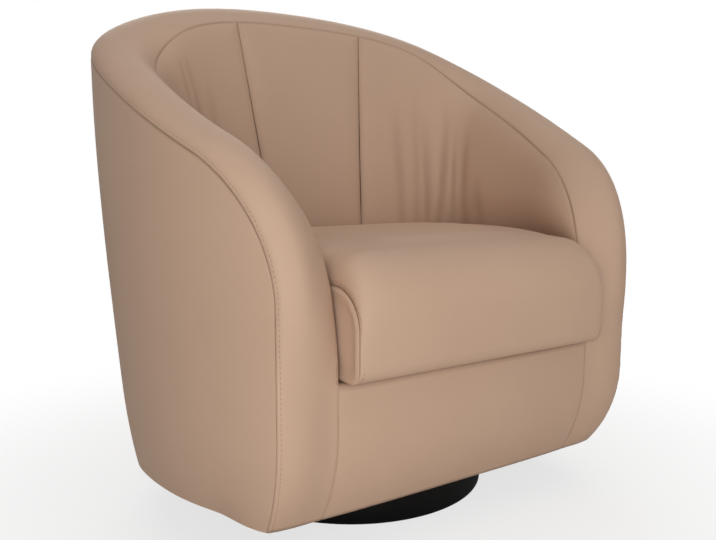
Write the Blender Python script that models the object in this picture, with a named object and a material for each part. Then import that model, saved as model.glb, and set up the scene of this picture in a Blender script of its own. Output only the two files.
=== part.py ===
"""Swivel tub chair: a leather-covered barrel seat turning on a round ball-bearing base.

Metres, +Z up, the seat faces -Y.  The origin is the swivel axis at the floor.
The wall of the tub is drawn in wall coordinates: run (distance along the rim seam from the middle
of the back, negative to the left), depth (inward from the rim seam) and height.
"""
import functools
import math

import bmesh
import bpy
import numpy as np
from mathutils import Vector

# Clearance between touching pieces, and sheet thicknesses
GAP = 0.0003
LEATHER = 0.0022
OUTER_BOARD = 0.0040
STRAP = 0.0020
STRAP_EASE = 0.0013
STRAP_WIDTH = 0.050
STRAP_REACH = 0.480
DECK_CLOTH = 0.0020
DUST_CLOTH = 0.0008
PLYWOOD = 0.0180

# Plan of the outer rim seam, from the middle of the tub, which is set back from the swivel axis
TUB_SET_BACK = 0.030
HALF_WIDTH = 0.420
BACK_DEPTH = 0.284
FRONT_DEPTH = 0.353
FRONT_HALF_WIDTH = 0.331
BACK_POWER = 2.33

# Rim seam seen from the side, and the padded band on it
RIM_HEIGHT = 0.816
RIM_SLOPE = 0.475
ARM_RADIUS = 0.215
BAND_ARM = 0.091
BAND_BACK = 0.134
BAND_LIFT = 0.0009
CROWN_FRONT = 0.020
CROWN_SKEW_SHARE = 0.55
CROWN_TOP = 0.034
CROWN_FOOT_SHARE = 0.4

# Outer wall: lean towards the swivel, and the lower edge turned under
TAPER_SLOPE = 0.130
TAPER_REACH = 0.250
FLANK_BULGE = 0.002
TUCK_START = 0.220
TUCK_RADIUS = 0.245
TUCK_FRONT = 0.040
TUCK_CORNER = 0.011
TUCK_FADE = 0.250
TUCK_ARM = 0.011
TUCK_SIDE = 0.028
TUCK_SIDE_Y = -0.240
TUCK_BACK = 0.010
TUCK_BACK_Y = 0.050
TUCK_MOST_SHARE = 0.985

# Inside of the tub
BACK_SLOPE = 0.184
PAD_ARM = 0.030
PAD_BACK = 0.055
PAD_TOP_EASE = 0.0018
SEAM_TOP = 0.158
SEAM_LOW = 0.122
SEAM_CLEAR = 0.020

# Seat: rails, springs, cushion
SEAT_RAIL_TOP = 0.270
SEAT_RAIL_HEIGHT = 0.025
SEAT_RAIL_THICK = 0.024
FRONT_RAIL_HEIGHT = 0.070
FRONT_RAIL_THICK = 0.024
FRONT_PAD = 0.012
FRONT_BOW = 0.006
SEAT_RING_END = 0.085
SPRING_WIRE = 0.0038
SPRING_SWING = 0.022
SPRING_SPACING = 0.095
SPRING_BENDS = 10
DECK_HEM = 0.001
CUSHION_OVERHANG = 0.036
CUSHION_SIDE_HEIGHT = 0.138
CUSHION_CROWN = 0.036
CUSHION_NOSE = 0.010
CROWN_FULLNESS = 3.2
CUSHION_EASE = 0.004
CORE_EASE = 0.0011
NOSE_RADIUS_TOP = 0.055
NOSE_RADIUS_LOW = 0.036

# Swivel base
FOOT_PAD = 0.003
FOOT_PAD_RADIUS = 0.215
BASE_RADIUS = 0.232
BASE_THICK = 0.0605
BASE_EDGE = 0.006
PLATE_RADIUS = 0.150
PLATE_THICK = 0.003
BALL_RADIUS = 0.004
RACE_RADIUS = 0.125
RACE_DEPTH = 0.0015
BALL_COUNT = 12
BEARING_STEPS = 4 * BALL_COUNT
CAGE_THICK = 0.002
CAGE_WIDTH = 0.017
GROOVE_RATIO = 1.12
PIVOT_RADIUS = 0.006
KING_HEAD_RIM = 0.006
KING_HEAD_EASE = 0.001
KING_HEAD_HEIGHT = 0.006
BOLT_CHAMFER = 0.001
BOLT_STAND_OUT = 0.002
WASHER = 0.0015
WASHER_RIM = 0.0066
NUT_HEIGHT = 0.0070
NUT_RIM = 0.0045
NUT_STEPS = 24
BUSH_WALL = 0.0022
BUSH_FLANGE = 0.0015
BUSH_FLANGE_REACH = 0.003
SCREW_RADIUS = 0.0028
SCREW_HEAD = 0.0050
SCREW_HEAD_TOP = 0.0035
SCREW_HEAD_HEIGHT = 0.0022
BASE_SCREW_DEPTH = 0.026
PLATE_SCREW_DEPTH = 0.0176
DRILL_PAST = 0.002
BASE_SCREW_RING = 0.085
PLATE_BOLT_RING = 0.103

# Plywood base panel and ribs of the tub, by their run along the rim
PANEL_CORNER_RUN = 0.110
PANEL_CORNER = 0.035
PANEL_HOLE = 0.022
DUST_HEM = 0.004
DUST_HOLE_EASE = 0.010
COVER_END_EASE = 0.0005
POST_SET_BACK = 0.034
POST_DROP = 0.030
SIDE_RIB_RUN = 0.150
BACK_RIB_SHARE = 0.31
RIB_THICK = 0.022
RIB_EASE = 0.0009
BOW_HEIGHT = 0.020
BATTEN_WIDTH = 0.060
BATTEN_FRONT = 0.200
BATTEN_BACK = 0.110
BATTEN_THICK = 0.022

# Heights that follow from the stack of the base
BASE_BOTTOM = FOOT_PAD + GAP
BASE_TOP = BASE_BOTTOM + BASE_THICK
LOWER_PLATE = BASE_TOP + GAP
LOWER_PLATE_TOP = LOWER_PLATE + PLATE_THICK
BALL_HEIGHT = LOWER_PLATE_TOP - RACE_DEPTH + GAP + BALL_RADIUS
UPPER_PLATE = BALL_HEIGHT + BALL_RADIUS + GAP - RACE_DEPTH
UPPER_PLATE_TOP = UPPER_PLATE + PLATE_THICK
PANEL_BOTTOM = UPPER_PLATE_TOP + GAP
PANEL_TOP = PANEL_BOTTOM + PLYWOOD
WALL_BOTTOM = PANEL_BOTTOM
SPRING_HEIGHT = SEAT_RAIL_TOP + GAP + SPRING_WIRE / 2
DECK_BOTTOM = SPRING_HEIGHT + SPRING_WIRE / 2 + GAP
CUSHION_BOTTOM = DECK_BOTTOM + DECK_CLOTH + GAP
CUSHION_SEAM = CUSHION_BOTTOM + CUSHION_SIDE_HEIGHT
CUSHION_FRONT = FRONT_DEPTH + CUSHION_OVERHANG
PAD_BOTTOM = DECK_BOTTOM
OUTER = LEATHER + OUTER_BOARD + 3 * GAP


def material(name, colour, roughness, metallic=0.0):
    """A plain Principled material in linear colour."""
    mat = bpy.data.materials.new(name)
    mat.use_nodes = True
    shader = mat.node_tree.nodes["Principled BSDF"]
    shader.inputs["Base Color"].default_value = (*colour, 1.0)
    shader.inputs["Roughness"].default_value = roughness
    shader.inputs["Metallic"].default_value = metallic
    mat.diffuse_color = (*colour, 1.0)
    return mat


def mesh_object(name, mesh_data, mat, parent, smooth=40.0):
    """Turn a bmesh into a named object with outward faces."""
    bmesh.ops.recalc_face_normals(mesh_data, faces=mesh_data.faces)
    mesh = bpy.data.meshes.new(name)
    mesh_data.to_mesh(mesh)
    mesh_data.free()
    mesh.materials.append(mat)
    mesh.shade_smooth()
    mesh.set_sharp_from_angle(angle=math.radians(smooth))
    obj = bpy.data.objects.new(name, mesh)
    bpy.context.scene.collection.objects.link(obj)
    obj.parent = parent
    return obj


def thick_patch(name, outer, inner, mat, parent, smooth=40.0):
    """A closed sheet between two grids of points with the same rows and columns."""
    bm = bmesh.new()
    add_thick_patch(bm, outer, inner)
    return mesh_object(name, bm, mat, parent, smooth)


def add_thick_patch(bm, outer, inner):
    """Add one closed sheet to a bmesh."""
    front = [[bm.verts.new(p) for p in row] for row in outer]
    back = [[bm.verts.new(p) for p in row] for row in inner]
    rows, cols = len(front), len(front[0])
    for i in range(rows - 1):
        for j in range(cols - 1):
            bm.faces.new((front[i][j], front[i][j + 1], front[i + 1][j + 1], front[i + 1][j]))
            bm.faces.new((back[i][j], back[i + 1][j], back[i + 1][j + 1], back[i][j + 1]))
    for i in range(rows - 1):
        bm.faces.new((front[i][0], front[i + 1][0], back[i + 1][0], back[i][0]))
        bm.faces.new((front[i][-1], back[i][-1], back[i + 1][-1], front[i + 1][-1]))
    for j in range(cols - 1):
        bm.faces.new((front[0][j], back[0][j], back[0][j + 1], front[0][j + 1]))
        bm.faces.new((front[-1][j], front[-1][j + 1], back[-1][j + 1], back[-1][j]))


def add_turned(bm, profile, steps, centre=(0.0, 0.0)):
    """Spin a closed profile of (radius, height) points about an upright axis."""
    verts = [bm.verts.new((centre[0] + r, centre[1], z)) for r, z in profile]
    edges = [bm.edges.new((verts[i - 1], verts[i])) for i in range(len(verts))]
    keep = [e for e in edges if max(v.co.x for v in e.verts) > centre[0] + 1e-7]
    bmesh.ops.spin(bm, geom=verts + keep, cent=(*centre, 0.0), axis=(0.0, 0.0, 1.0),
                   angle=2 * math.pi, steps=steps, use_merge=True)
    loose = [e for e in edges if e not in keep and e.is_valid and not e.link_faces]
    bmesh.ops.delete(bm, geom=loose, context="EDGES")
    bmesh.ops.remove_doubles(bm, verts=bm.verts, dist=1e-6)


def turned(name, profile, steps, mat, parent, smooth=40.0):
    """One lathe-turned piece on the swivel axis."""
    bm = bmesh.new()
    add_turned(bm, profile, steps)
    return mesh_object(name, bm, mat, parent, smooth)


def add_prism(bm, x, y, z_low, z_high, radius, sides, turn=0.0):
    """A small upright prism or cylinder."""
    low, high = [], []
    for k in range(sides):
        angle = turn + 2 * math.pi * k / sides
        px, py = x + radius * math.cos(angle), y + radius * math.sin(angle)
        low.append(bm.verts.new((px, py, z_low)))
        high.append(bm.verts.new((px, py, z_high)))
    for k in range(sides):
        bm.faces.new((low[k - 1], low[k], high[k], high[k - 1]))
    bm.faces.new(low[::-1])
    bm.faces.new(high)


def add_box(bm, low, high):
    """A box between two corners."""
    result = bmesh.ops.create_cube(bm, size=1.0)
    size = Vector(high) - Vector(low)
    middle = (Vector(high) + Vector(low)) / 2
    for v in result["verts"]:
        v.co = Vector((v.co.x * size.x, v.co.y * size.y, v.co.z * size.z)) + middle


def ring_points(radius, count, turn=0.0):
    """Points spread evenly on a circle about the swivel axis."""
    angles = [turn + 2 * math.pi * k / count for k in range(count)]
    return [(radius * math.cos(a), radius * math.sin(a)) for a in angles]


def boolean(obj, tool, operation):
    """Join or cut a piece with a hidden tool object, as a live modifier."""
    tool.hide_render = True
    tool.display_type = "WIRE"
    step = obj.modifiers.new(operation.lower(), "BOOLEAN")
    step.operation = operation
    step.solver = "EXACT"
    step.object = tool


def drill(obj, points, radius, z_low, z_high, sides=10):
    """Cut upright round holes through a piece with a live boolean."""
    bm = bmesh.new()
    for x, y in points:
        add_prism(bm, x, y, z_low, z_high, radius, sides)
    cutter = mesh_object(obj.name + "_cutter", bm, obj.data.materials[0], obj.parent)
    boolean(obj, cutter, "DIFFERENCE")


def smoothstep(value):
    """Ease from 0 to 1."""
    t = min(1.0, max(0.0, value))
    return t * t * (3.0 - 2.0 * t)


# Plan curve of the rim seam, front end to middle of the back, by arc length
FRONT_REACH = FRONT_DEPTH / math.sqrt(1.0 - (FRONT_HALF_WIDTH / HALF_WIDTH) ** 2)
front_angle = np.linspace(math.asin(FRONT_DEPTH / FRONT_REACH), 0.0, 600)
back_angle = np.linspace(0.0, math.pi / 2, 900)[1:]
CURVE_X = np.concatenate([HALF_WIDTH * np.cos(front_angle),
                          HALF_WIDTH * np.clip(np.cos(back_angle), 0, 1) ** (2 / BACK_POWER)])
CURVE_Y = np.concatenate([-FRONT_REACH * np.sin(front_angle),
                          BACK_DEPTH * np.sin(back_angle) ** (2 / BACK_POWER)])
CURVE_S = np.concatenate([[0.0], np.cumsum(np.hypot(np.diff(CURVE_X), np.diff(CURVE_Y)))])
LENGTH = float(CURVE_S[-1])
TANGENT_STEP = 0.012


@functools.lru_cache(maxsize=None)
def plan(run):
    """Rim seam point in plan and the inward direction there."""
    side = -1.0 if run < 0 else 1.0
    s = max(0.0, LENGTH - abs(run))
    x, y = np.interp(s, CURVE_S, CURVE_X), np.interp(s, CURVE_S, CURVE_Y)
    ahead, behind = min(LENGTH, s + TANGENT_STEP), max(0.0, s - TANGENT_STEP)
    tx = np.interp(ahead, CURVE_S, CURVE_X) - np.interp(behind, CURVE_S, CURVE_X)
    ty = np.interp(ahead, CURVE_S, CURVE_Y) - np.interp(behind, CURVE_S, CURVE_Y)
    if abs(run) < 1e-9:
        tx, ty = -1.0, 0.0
    size = math.hypot(tx, ty)
    ease = smoothstep((y + FRONT_DEPTH) / ARM_RADIUS)
    nx, ny = -ty / size * ease - (1.0 - ease), tx / size * ease
    size = math.hypot(nx, ny)
    return float(side * x), float(y), side * nx / size, ny / size


def run_at(y):
    """Run of the rim seam where its front half passes this y."""
    return LENGTH - float(np.interp(y, CURVE_Y, CURVE_S))


ROLL_Y = ARM_RADIUS - FRONT_DEPTH
ROLL_Z = (RIM_HEIGHT - RIM_SLOPE * (BACK_DEPTH - ROLL_Y)
          - ARM_RADIUS * math.sqrt(1.0 + RIM_SLOPE ** 2))
ROLL_END = ROLL_Y - ARM_RADIUS * math.sin(math.atan(RIM_SLOPE))
ROLL_RUN = run_at(ROLL_END)


# Stations along the rim: quarter round of the arm, then the slope to the middle of the back
roll_angles = np.linspace(math.pi, math.pi / 2 + math.atan(RIM_SLOPE), 7)
ROLL_RUNS = [LENGTH] + [run_at(ROLL_Y + ARM_RADIUS * math.cos(a)) for a in roll_angles[1:]]
SLOPE_RUNS = list(np.linspace(ROLL_RUNS[-1], 0.0, 16)[1:])
HALF_RUNS = ROLL_RUNS + SLOPE_RUNS
ALL_RUNS = [-run for run in HALF_RUNS] + HALF_RUNS[-2::-1]


def between(run, value):
    """Straight-line value between the two rim stations beside a run, so that all pieces share facets."""
    after = min(len(ALL_RUNS) - 1, max(1, int(np.searchsorted(ALL_RUNS, run))))
    first, second = ALL_RUNS[after - 1], ALL_RUNS[after]
    share = (run - first) / (second - first)
    return value(first) * (1.0 - share) + value(second) * share


def rim_height(run):
    """Height of the rim seam: an even fall to the arms, then a quarter round down to the arm front."""
    def station(at):
        y = plan(at)[1]
        if y > ROLL_END:
            return RIM_HEIGHT - RIM_SLOPE * (BACK_DEPTH - y)
        return ROLL_Z + math.sqrt(max(0.0, ARM_RADIUS ** 2 - (y - ROLL_Y) ** 2))
    return between(run, station)


def backness(run):
    """0 at the arm fronts, 1 at the middle of the back."""
    return (plan(run)[1] + FRONT_DEPTH) / (BACK_DEPTH + FRONT_DEPTH)


def band_width(run):
    """Width of the padded band on the rim."""
    return BAND_ARM + (BAND_BACK - BAND_ARM) * smoothstep(plan(run)[1] / BACK_DEPTH)


# Heights of the rows on a full-height piece: close together where the lower edge turns under
KNEE_SHARE = 0.6
TUCK_LEVELS = [WALL_BOTTOM] + [PANEL_TOP + (TUCK_START - PANEL_TOP) * k for k in (0.0, 0.18, 0.45, 1.0)]


def knee_height(rim):
    """Height where the inside starts to lean: the cushion seam, or lower on the low arm fronts."""
    return min(CUSHION_SEAM, TUCK_START + KNEE_SHARE * (rim - TUCK_START))


def wall_levels(rim):
    """The heights that all wall pieces share under one place of the rim."""
    knee = knee_height(rim)
    return TUCK_LEVELS + [knee, (knee + rim) / 2, rim]


def full_height(spans):
    """Rows of each run, on the shared levels that all the runs of a piece have room for."""
    tables = [wall_levels(rim) for _, _, rim in spans]
    kept = [k for k in range(len(tables[0]))
            if all(low + 2 * GAP < table[k] < high - 2 * GAP for (low, high, _), table in zip(spans, tables))]
    return [[low] + [table[k] for k in kept] + [high] for (low, high, _), table in zip(spans, tables)]


def low_and_high(spans):
    """The two rows of each run of a plain strip."""
    return [[low, high] for low, high, _ in spans]


def outer_inset(run, z):
    """How far the outer wall stands inside the rim seam."""
    def station(at):
        rim = rim_height(at)
        levels = wall_levels(rim)
        drops = [rim - level for level in levels]
        lean = [TAPER_SLOPE * (math.hypot(d, TAPER_REACH) - TAPER_REACH) for d in drops]
        swell = [FLANK_BULGE * math.sin(math.pi * min(1.0, d / (2 * TAPER_REACH))) for d in drops]
        return backness(at) * float(np.interp(z, levels, np.subtract(lean, swell)))
    return between(run, station)


def tuck(z):
    """How much of the lower edge is turned under at this height, from 0 to 1 at the bottom."""
    shares = [min(TUCK_MOST_SHARE, max(0.0, (TUCK_START - level) / TUCK_RADIUS)) for level in TUCK_LEVELS]
    turned_in = [1.0 - math.sqrt(1.0 - t * t) for t in shares]
    return float(np.interp(z, TUCK_LEVELS, turned_in)) / turned_in[0]


def front_tuck(x):
    """How far the front turns under: more towards the corners, so that these are round."""
    return TUCK_FRONT + TUCK_CORNER * min(1.0, abs(x) / FRONT_HALF_WIDTH) ** 4


def side_tuck(y):
    """How far the side turns under: most behind the arm front."""
    return float(np.interp(y, (-FRONT_DEPTH, TUCK_SIDE_Y, TUCK_BACK_Y), (TUCK_ARM, TUCK_SIDE, TUCK_BACK)))


def wall(run, depth, z):
    """A point of the tub wall from wall coordinates."""
    turned_in = tuck(z)

    def station(at):
        x, y, nx, ny = plan(at)
        inward = depth + side_tuck(y) * turned_in
        lift = front_tuck(x) * turned_in * (1.0 - smoothstep((y + FRONT_DEPTH) / TUCK_FADE))
        return Vector((x + nx * inward, y + ny * inward + lift, z))
    return between(run, station)


def inside_depth(run, z):
    """Depth of the upholstered inner face: leaning above the cushion, upright beside it."""
    def station(at):
        lean = BACK_SLOPE * backness(at) ** 1.5
        return band_width(at) + lean * max(0.0, rim_height(at) - max(z, CUSHION_SEAM))
    return between(run, station)


def pad_back(run, z):
    """Depth of the back of the inside padding."""
    pad = PAD_ARM + (PAD_BACK - PAD_ARM) * smoothstep(plan(run)[1] / BACK_DEPTH)
    return inside_depth(run, z) - LEATHER - GAP - pad


def rib_edge(run, z):
    """Depth of the inner edge of the plywood ribs."""
    return pad_back(run, max(z, SEAT_RAIL_TOP)) - STRAP - 2 * STRAP_EASE


def wall_piece(name, runs, low, high, near, far, rows, mat, parent):
    """A piece of the tub wall between two heights and two depths, near (outside) and far (inside)."""
    heights = rows([(low(run), high(run), rim_height(run)) for run in runs])
    outer = [[wall(run, near(run, z), z) for z in row] for run, row in zip(runs, heights)]
    inner = [[wall(run, far(run, z), z) for z in row] for run, row in zip(runs, heights)]
    return thick_patch(name, outer, inner, mat, parent)


def always(value):
    """A height that is the same all round."""
    return lambda run: value


def skin(extra):
    """A depth measured from the outer face of the leather."""
    return lambda run, z: outer_inset(run, z) + extra


def runs_between(first, last):
    """Stations strictly between two runs, with the two runs themselves as ends."""
    low, high = min(first, last), max(first, last)
    inside = sorted(r for r in ALL_RUNS if low + GAP < r < high - GAP)
    return [low] + inside + [high]


def clear_scene():
    """Start from an empty scene."""
    for obj in list(bpy.data.objects):
        bpy.data.objects.remove(obj)


clear_scene()

TAN_LEATHER = material("tan_leather", (0.47, 0.32, 0.21), 0.5)
BLACK_LACQUER = material("black_lacquer", (0.008, 0.008, 0.009), 0.35)
ZINC = material("zinc_plated_steel", (0.55, 0.56, 0.57), 0.35, 1.0)
BALL_STEEL = material("bearing_steel", (0.62, 0.62, 0.63), 0.2, 1.0)
NYLON = material("white_nylon", (0.75, 0.74, 0.70), 0.5)
FELT = material("grey_felt", (0.10, 0.10, 0.10), 0.95)
BIRCH_PLY = material("birch_plywood", (0.55, 0.40, 0.24), 0.7)
BEECH = material("beech_timber", (0.48, 0.30, 0.17), 0.65)
FIBREBOARD = material("brown_fibreboard", (0.28, 0.20, 0.13), 0.85)
FOAM = material("cream_foam", (0.72, 0.66, 0.48), 0.95)
SPRING_STEEL = material("spring_steel", (0.30, 0.30, 0.31), 0.4, 1.0)
WEB = material("black_webbing", (0.03, 0.03, 0.03), 0.9)
CANVAS = material("grey_deck_cloth", (0.30, 0.29, 0.27), 0.95)
CAMBRIC = material("black_cambric", (0.015, 0.015, 0.015), 0.95)


def empty(name, location=(0.0, 0.0, 0.0), parent=None):
    """A parent for the pieces of one body."""
    obj = bpy.data.objects.new(name, None)
    obj.location = location
    obj.parent = parent
    bpy.context.scene.collection.objects.link(obj)
    return obj


BASE = empty("base_frame")
BEARING = empty("bearing_frame")
SEAT = empty("seat_frame")
TUB = empty("tub_frame", (0.0, TUB_SET_BACK, 0.0), SEAT)

# Round base, lower plate and king bolt, fixed to the floor
turned("foot_pad", [(0.0, 0.0), (FOOT_PAD_RADIUS, 0.0), (FOOT_PAD_RADIUS, FOOT_PAD), (0.0, FOOT_PAD)],
       40, FELT, BASE)

edge_in = BASE_RADIUS - BASE_EDGE
recess = PIVOT_RADIUS + KING_HEAD_RIM
HEAD_LOW = BASE_TOP - KING_HEAD_HEIGHT
disc_profile = [(0.0, BASE_BOTTOM), (edge_in, BASE_BOTTOM)]
for k in range(1, 6):
    a = math.pi * k / 6 - math.pi / 2
    disc_profile.append((edge_in + BASE_EDGE * math.cos(a),
                         (BASE_BOTTOM + BASE_TOP) / 2 + BASE_THICK / 2 * math.sin(a)))
disc_profile += [(edge_in, BASE_TOP), (recess, BASE_TOP),
                 (recess, HEAD_LOW - GAP), (0.0, HEAD_LOW - GAP)]
base_disc = turned("base_disc", disc_profile, 48, BLACK_LACQUER, BASE)


def plate_profile(low, hole, race_side):
    """Turned section of a bearing plate with a ball groove on one face."""
    high = low + PLATE_THICK
    flat = high if race_side > 0 else low
    groove_half = math.sqrt((BALL_RADIUS + GAP) ** 2 - (BALL_RADIUS + GAP - RACE_DEPTH) ** 2)
    groove = []
    for k in (-1.0, 0.0, 1.0):
        reach = groove_half * k
        sink = math.sqrt((BALL_RADIUS + GAP) ** 2 - reach ** 2) - (BALL_RADIUS + GAP - RACE_DEPTH)
        groove.append((RACE_RADIUS + reach * GROOVE_RATIO, flat - race_side * max(0.0, sink)))
    if race_side > 0:
        return ([(hole, low), (PLATE_RADIUS, low), (PLATE_RADIUS, high)] + groove[::-1]
                + [(hole, high)])
    return [(hole, low)] + groove + [(PLATE_RADIUS, low), (PLATE_RADIUS, high), (hole, high)]


PIVOT_HOLE = PIVOT_RADIUS + GAP
BUSH_HOLE = PIVOT_HOLE + BUSH_WALL + GAP
lower_plate = turned("lower_plate", plate_profile(LOWER_PLATE, PIVOT_HOLE, 1), BEARING_STEPS, ZINC, BASE)
SCREW_POINTS = ring_points(BASE_SCREW_RING, 4)
SCREW_HOLE = SCREW_RADIUS + GAP
drill(lower_plate, SCREW_POINTS, SCREW_HOLE, LOWER_PLATE - DRILL_PAST, LOWER_PLATE_TOP + DRILL_PAST)
SCREW_TIP = BASE_TOP - BASE_SCREW_DEPTH
drill(base_disc, SCREW_POINTS, SCREW_HOLE, SCREW_TIP - GAP, BASE_TOP + DRILL_PAST)

for k, (px, py) in enumerate(SCREW_POINTS):
    head_low = LOWER_PLATE_TOP + GAP
    bm = bmesh.new()
    add_turned(bm, [(0.0, SCREW_TIP), (SCREW_RADIUS, SCREW_TIP + SCREW_RADIUS),
                    (SCREW_RADIUS, head_low), (SCREW_HEAD, head_low),
                    (SCREW_HEAD_TOP, head_low + SCREW_HEAD_HEIGHT),
                    (0.0, head_low + SCREW_HEAD_HEIGHT)], 8, (px, py))
    mesh_object(f"base_screw_{k + 1}", bm, ZINC, BASE)

WASHER_LOW = UPPER_PLATE_TOP + GAP + BUSH_FLANGE + GAP
NUT_LOW = WASHER_LOW + WASHER + GAP
BOLT_TOP = NUT_LOW + NUT_HEIGHT + BOLT_STAND_OUT
head_radius = recess - KING_HEAD_EASE
turned("king_bolt", [(0.0, HEAD_LOW), (head_radius, HEAD_LOW), (head_radius, BASE_TOP),
                     (PIVOT_RADIUS, BASE_TOP), (PIVOT_RADIUS, BOLT_TOP - BOLT_CHAMFER),
                     (PIVOT_RADIUS - BOLT_CHAMFER, BOLT_TOP), (0.0, BOLT_TOP)], 16, ZINC, BASE)
washer_radius = PIVOT_RADIUS + WASHER_RIM
turned("king_washer", [(PIVOT_HOLE, WASHER_LOW), (washer_radius, WASHER_LOW),
                       (washer_radius, WASHER_LOW + WASHER), (PIVOT_HOLE, WASHER_LOW + WASHER)],
       16, ZINC, BASE)


def nut_flat(angle):
    """Radius of the hexagon of the nut in one direction."""
    sixth = math.pi / 3
    return (PIVOT_RADIUS + NUT_RIM) * math.cos(sixth / 2) / math.cos(angle % sixth - sixth / 2)


bm = bmesh.new()
nut_angles = [2 * math.pi * k / NUT_STEPS for k in range(NUT_STEPS)]
loops = []
for z in (NUT_LOW, NUT_LOW + NUT_HEIGHT):
    for radius in (nut_flat, lambda angle: PIVOT_HOLE):
        ring = [(radius(a) * math.cos(a), radius(a) * math.sin(a), z) for a in nut_angles]
        loops.append([bm.verts.new(p) for p in ring])
for first, second in ((0, 2), (2, 3), (3, 1), (1, 0)):
    for k in range(NUT_STEPS):
        bm.faces.new((loops[first][k - 1], loops[first][k], loops[second][k], loops[second][k - 1]))
mesh_object("king_nut", bm, ZINC, BASE, 30.0)

# Ball ring between the plates: balls snapped into a nylon cage, turning at half the seat's speed
cage_low = BALL_HEIGHT - CAGE_THICK / 2
ball_ring = turned("ball_ring", [(RACE_RADIUS - CAGE_WIDTH / 2, cage_low),
                                 (RACE_RADIUS + CAGE_WIDTH / 2, cage_low),
                                 (RACE_RADIUS + CAGE_WIDTH / 2, cage_low + CAGE_THICK),
                                 (RACE_RADIUS - CAGE_WIDTH / 2, cage_low + CAGE_THICK)],
                   BEARING_STEPS, BALL_STEEL, BEARING)
bm = bmesh.new()
for px, py in ring_points(RACE_RADIUS, BALL_COUNT):
    ball = bmesh.ops.create_icosphere(bm, subdivisions=1, radius=BALL_RADIUS)
    for v in ball["verts"]:
        v.co += Vector((px, py, BALL_HEIGHT))
boolean(ball_ring, mesh_object("ball_ring_balls", bm, BALL_STEEL, BEARING, 80.0), "UNION")

# Upper plate, its bush and bolts, turning with the seat
upper_plate = turned("upper_plate", plate_profile(UPPER_PLATE, BUSH_HOLE, -1), BEARING_STEPS, ZINC, SEAT)
BOLT_POINTS = ring_points(PLATE_BOLT_RING, 4, math.pi / 4)
drill(upper_plate, BOLT_POINTS, SCREW_HOLE, UPPER_PLATE - DRILL_PAST, UPPER_PLATE_TOP + DRILL_PAST)
bush_out = PIVOT_HOLE + BUSH_WALL
flange_out = bush_out + BUSH_FLANGE_REACH
turned("pivot_bush", [(PIVOT_HOLE, UPPER_PLATE), (bush_out, UPPER_PLATE),
                      (bush_out, UPPER_PLATE_TOP + GAP), (flange_out, UPPER_PLATE_TOP + GAP),
                      (flange_out, UPPER_PLATE_TOP + GAP + BUSH_FLANGE),
                      (PIVOT_HOLE, UPPER_PLATE_TOP + GAP + BUSH_FLANGE)], 16, NYLON, SEAT)
BATTEN_LOW = PANEL_TOP + GAP
BATTEN_TOP = BATTEN_LOW + BATTEN_THICK
PLATE_SCREW_TIP = BATTEN_LOW + PLATE_SCREW_DEPTH
for k, (px, py) in enumerate(BOLT_POINTS):
    head_high = UPPER_PLATE - GAP
    bm = bmesh.new()
    add_turned(bm, [(0.0, head_high - SCREW_HEAD_HEIGHT), (SCREW_HEAD_TOP, head_high - SCREW_HEAD_HEIGHT),
                    (SCREW_HEAD, head_high), (SCREW_RADIUS, head_high),
                    (SCREW_RADIUS, PLATE_SCREW_TIP - SCREW_RADIUS), (0.0, PLATE_SCREW_TIP)], 8, (px, py))
    mesh_object(f"plate_screw_{k + 1}", bm, ZINC, SEAT)


def front_face(z, x=0.0):
    """Y of the leather on the front rail."""
    half = FRONT_HALF_WIDTH - BAND_ARM
    bow = FRONT_BOW * (1.0 - (x / half) ** 2) * (1.0 - tuck(z))
    return -FRONT_DEPTH - bow + front_tuck(x) * tuck(z)


FRONT_STACK = LEATHER + FRONT_PAD + 3 * GAP
PANEL_RUN = LENGTH - PANEL_CORNER_RUN


def in_tub(points):
    """Points about the swivel axis, in the tub's own place."""
    return [(x, y - TUB_SET_BACK) for x, y in points]


def base_outline(z, inset):
    """Plan outline of the bottom at one height: round the wall, then straight across the front."""
    round_wall = [wall(run, outer_inset(run, z) + inset, z) for run in runs_between(-PANEL_RUN, PANEL_RUN)]
    corner = round_wall[-1].x - PANEL_CORNER
    shares = (1.0, 0.7, 0.4, 0.13, -0.13, -0.4, -0.7, -1.0)
    behind = FRONT_STACK + FRONT_BOW
    return round_wall + [Vector((corner * k, front_face(z, corner * k) + behind, z)) for k in shares]


def add_plate_with_hole(bm, low_loop, high_loop, hole_radius, low, high):
    """A flat plate between two outlines, with a round hole on the swivel axis."""
    count = len(low_loop)
    angles = [math.atan2(p.y + TUB_SET_BACK, p.x) for p in low_loop]
    hole = in_tub([(hole_radius * math.cos(a), hole_radius * math.sin(a)) for a in angles])
    rings = [[bm.verts.new((p.x, p.y, low)) for p in low_loop],
             [bm.verts.new((p.x, p.y, high)) for p in high_loop],
             [bm.verts.new((x, y, high)) for x, y in hole],
             [bm.verts.new((x, y, low)) for x, y in hole]]
    for first in range(4):
        second = (first + 1) % 4
        for k in range(count):
            bm.faces.new((rings[first][k - 1], rings[first][k], rings[second][k], rings[second][k - 1]))


# Plywood base panel with two battens, and the cloth under it
bm = bmesh.new()
panel_loops = [base_outline(z, OUTER + GAP) for z in (PANEL_BOTTOM, PANEL_TOP)]
add_plate_with_hole(bm, *panel_loops, PANEL_HOLE, PANEL_BOTTOM, PANEL_TOP)
base_panel = mesh_object("base_panel", bm, BIRCH_PLY, TUB)
drill(base_panel, in_tub(BOLT_POINTS), SCREW_HOLE, PANEL_BOTTOM - DRILL_PAST, PANEL_TOP + DRILL_PAST)

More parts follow.
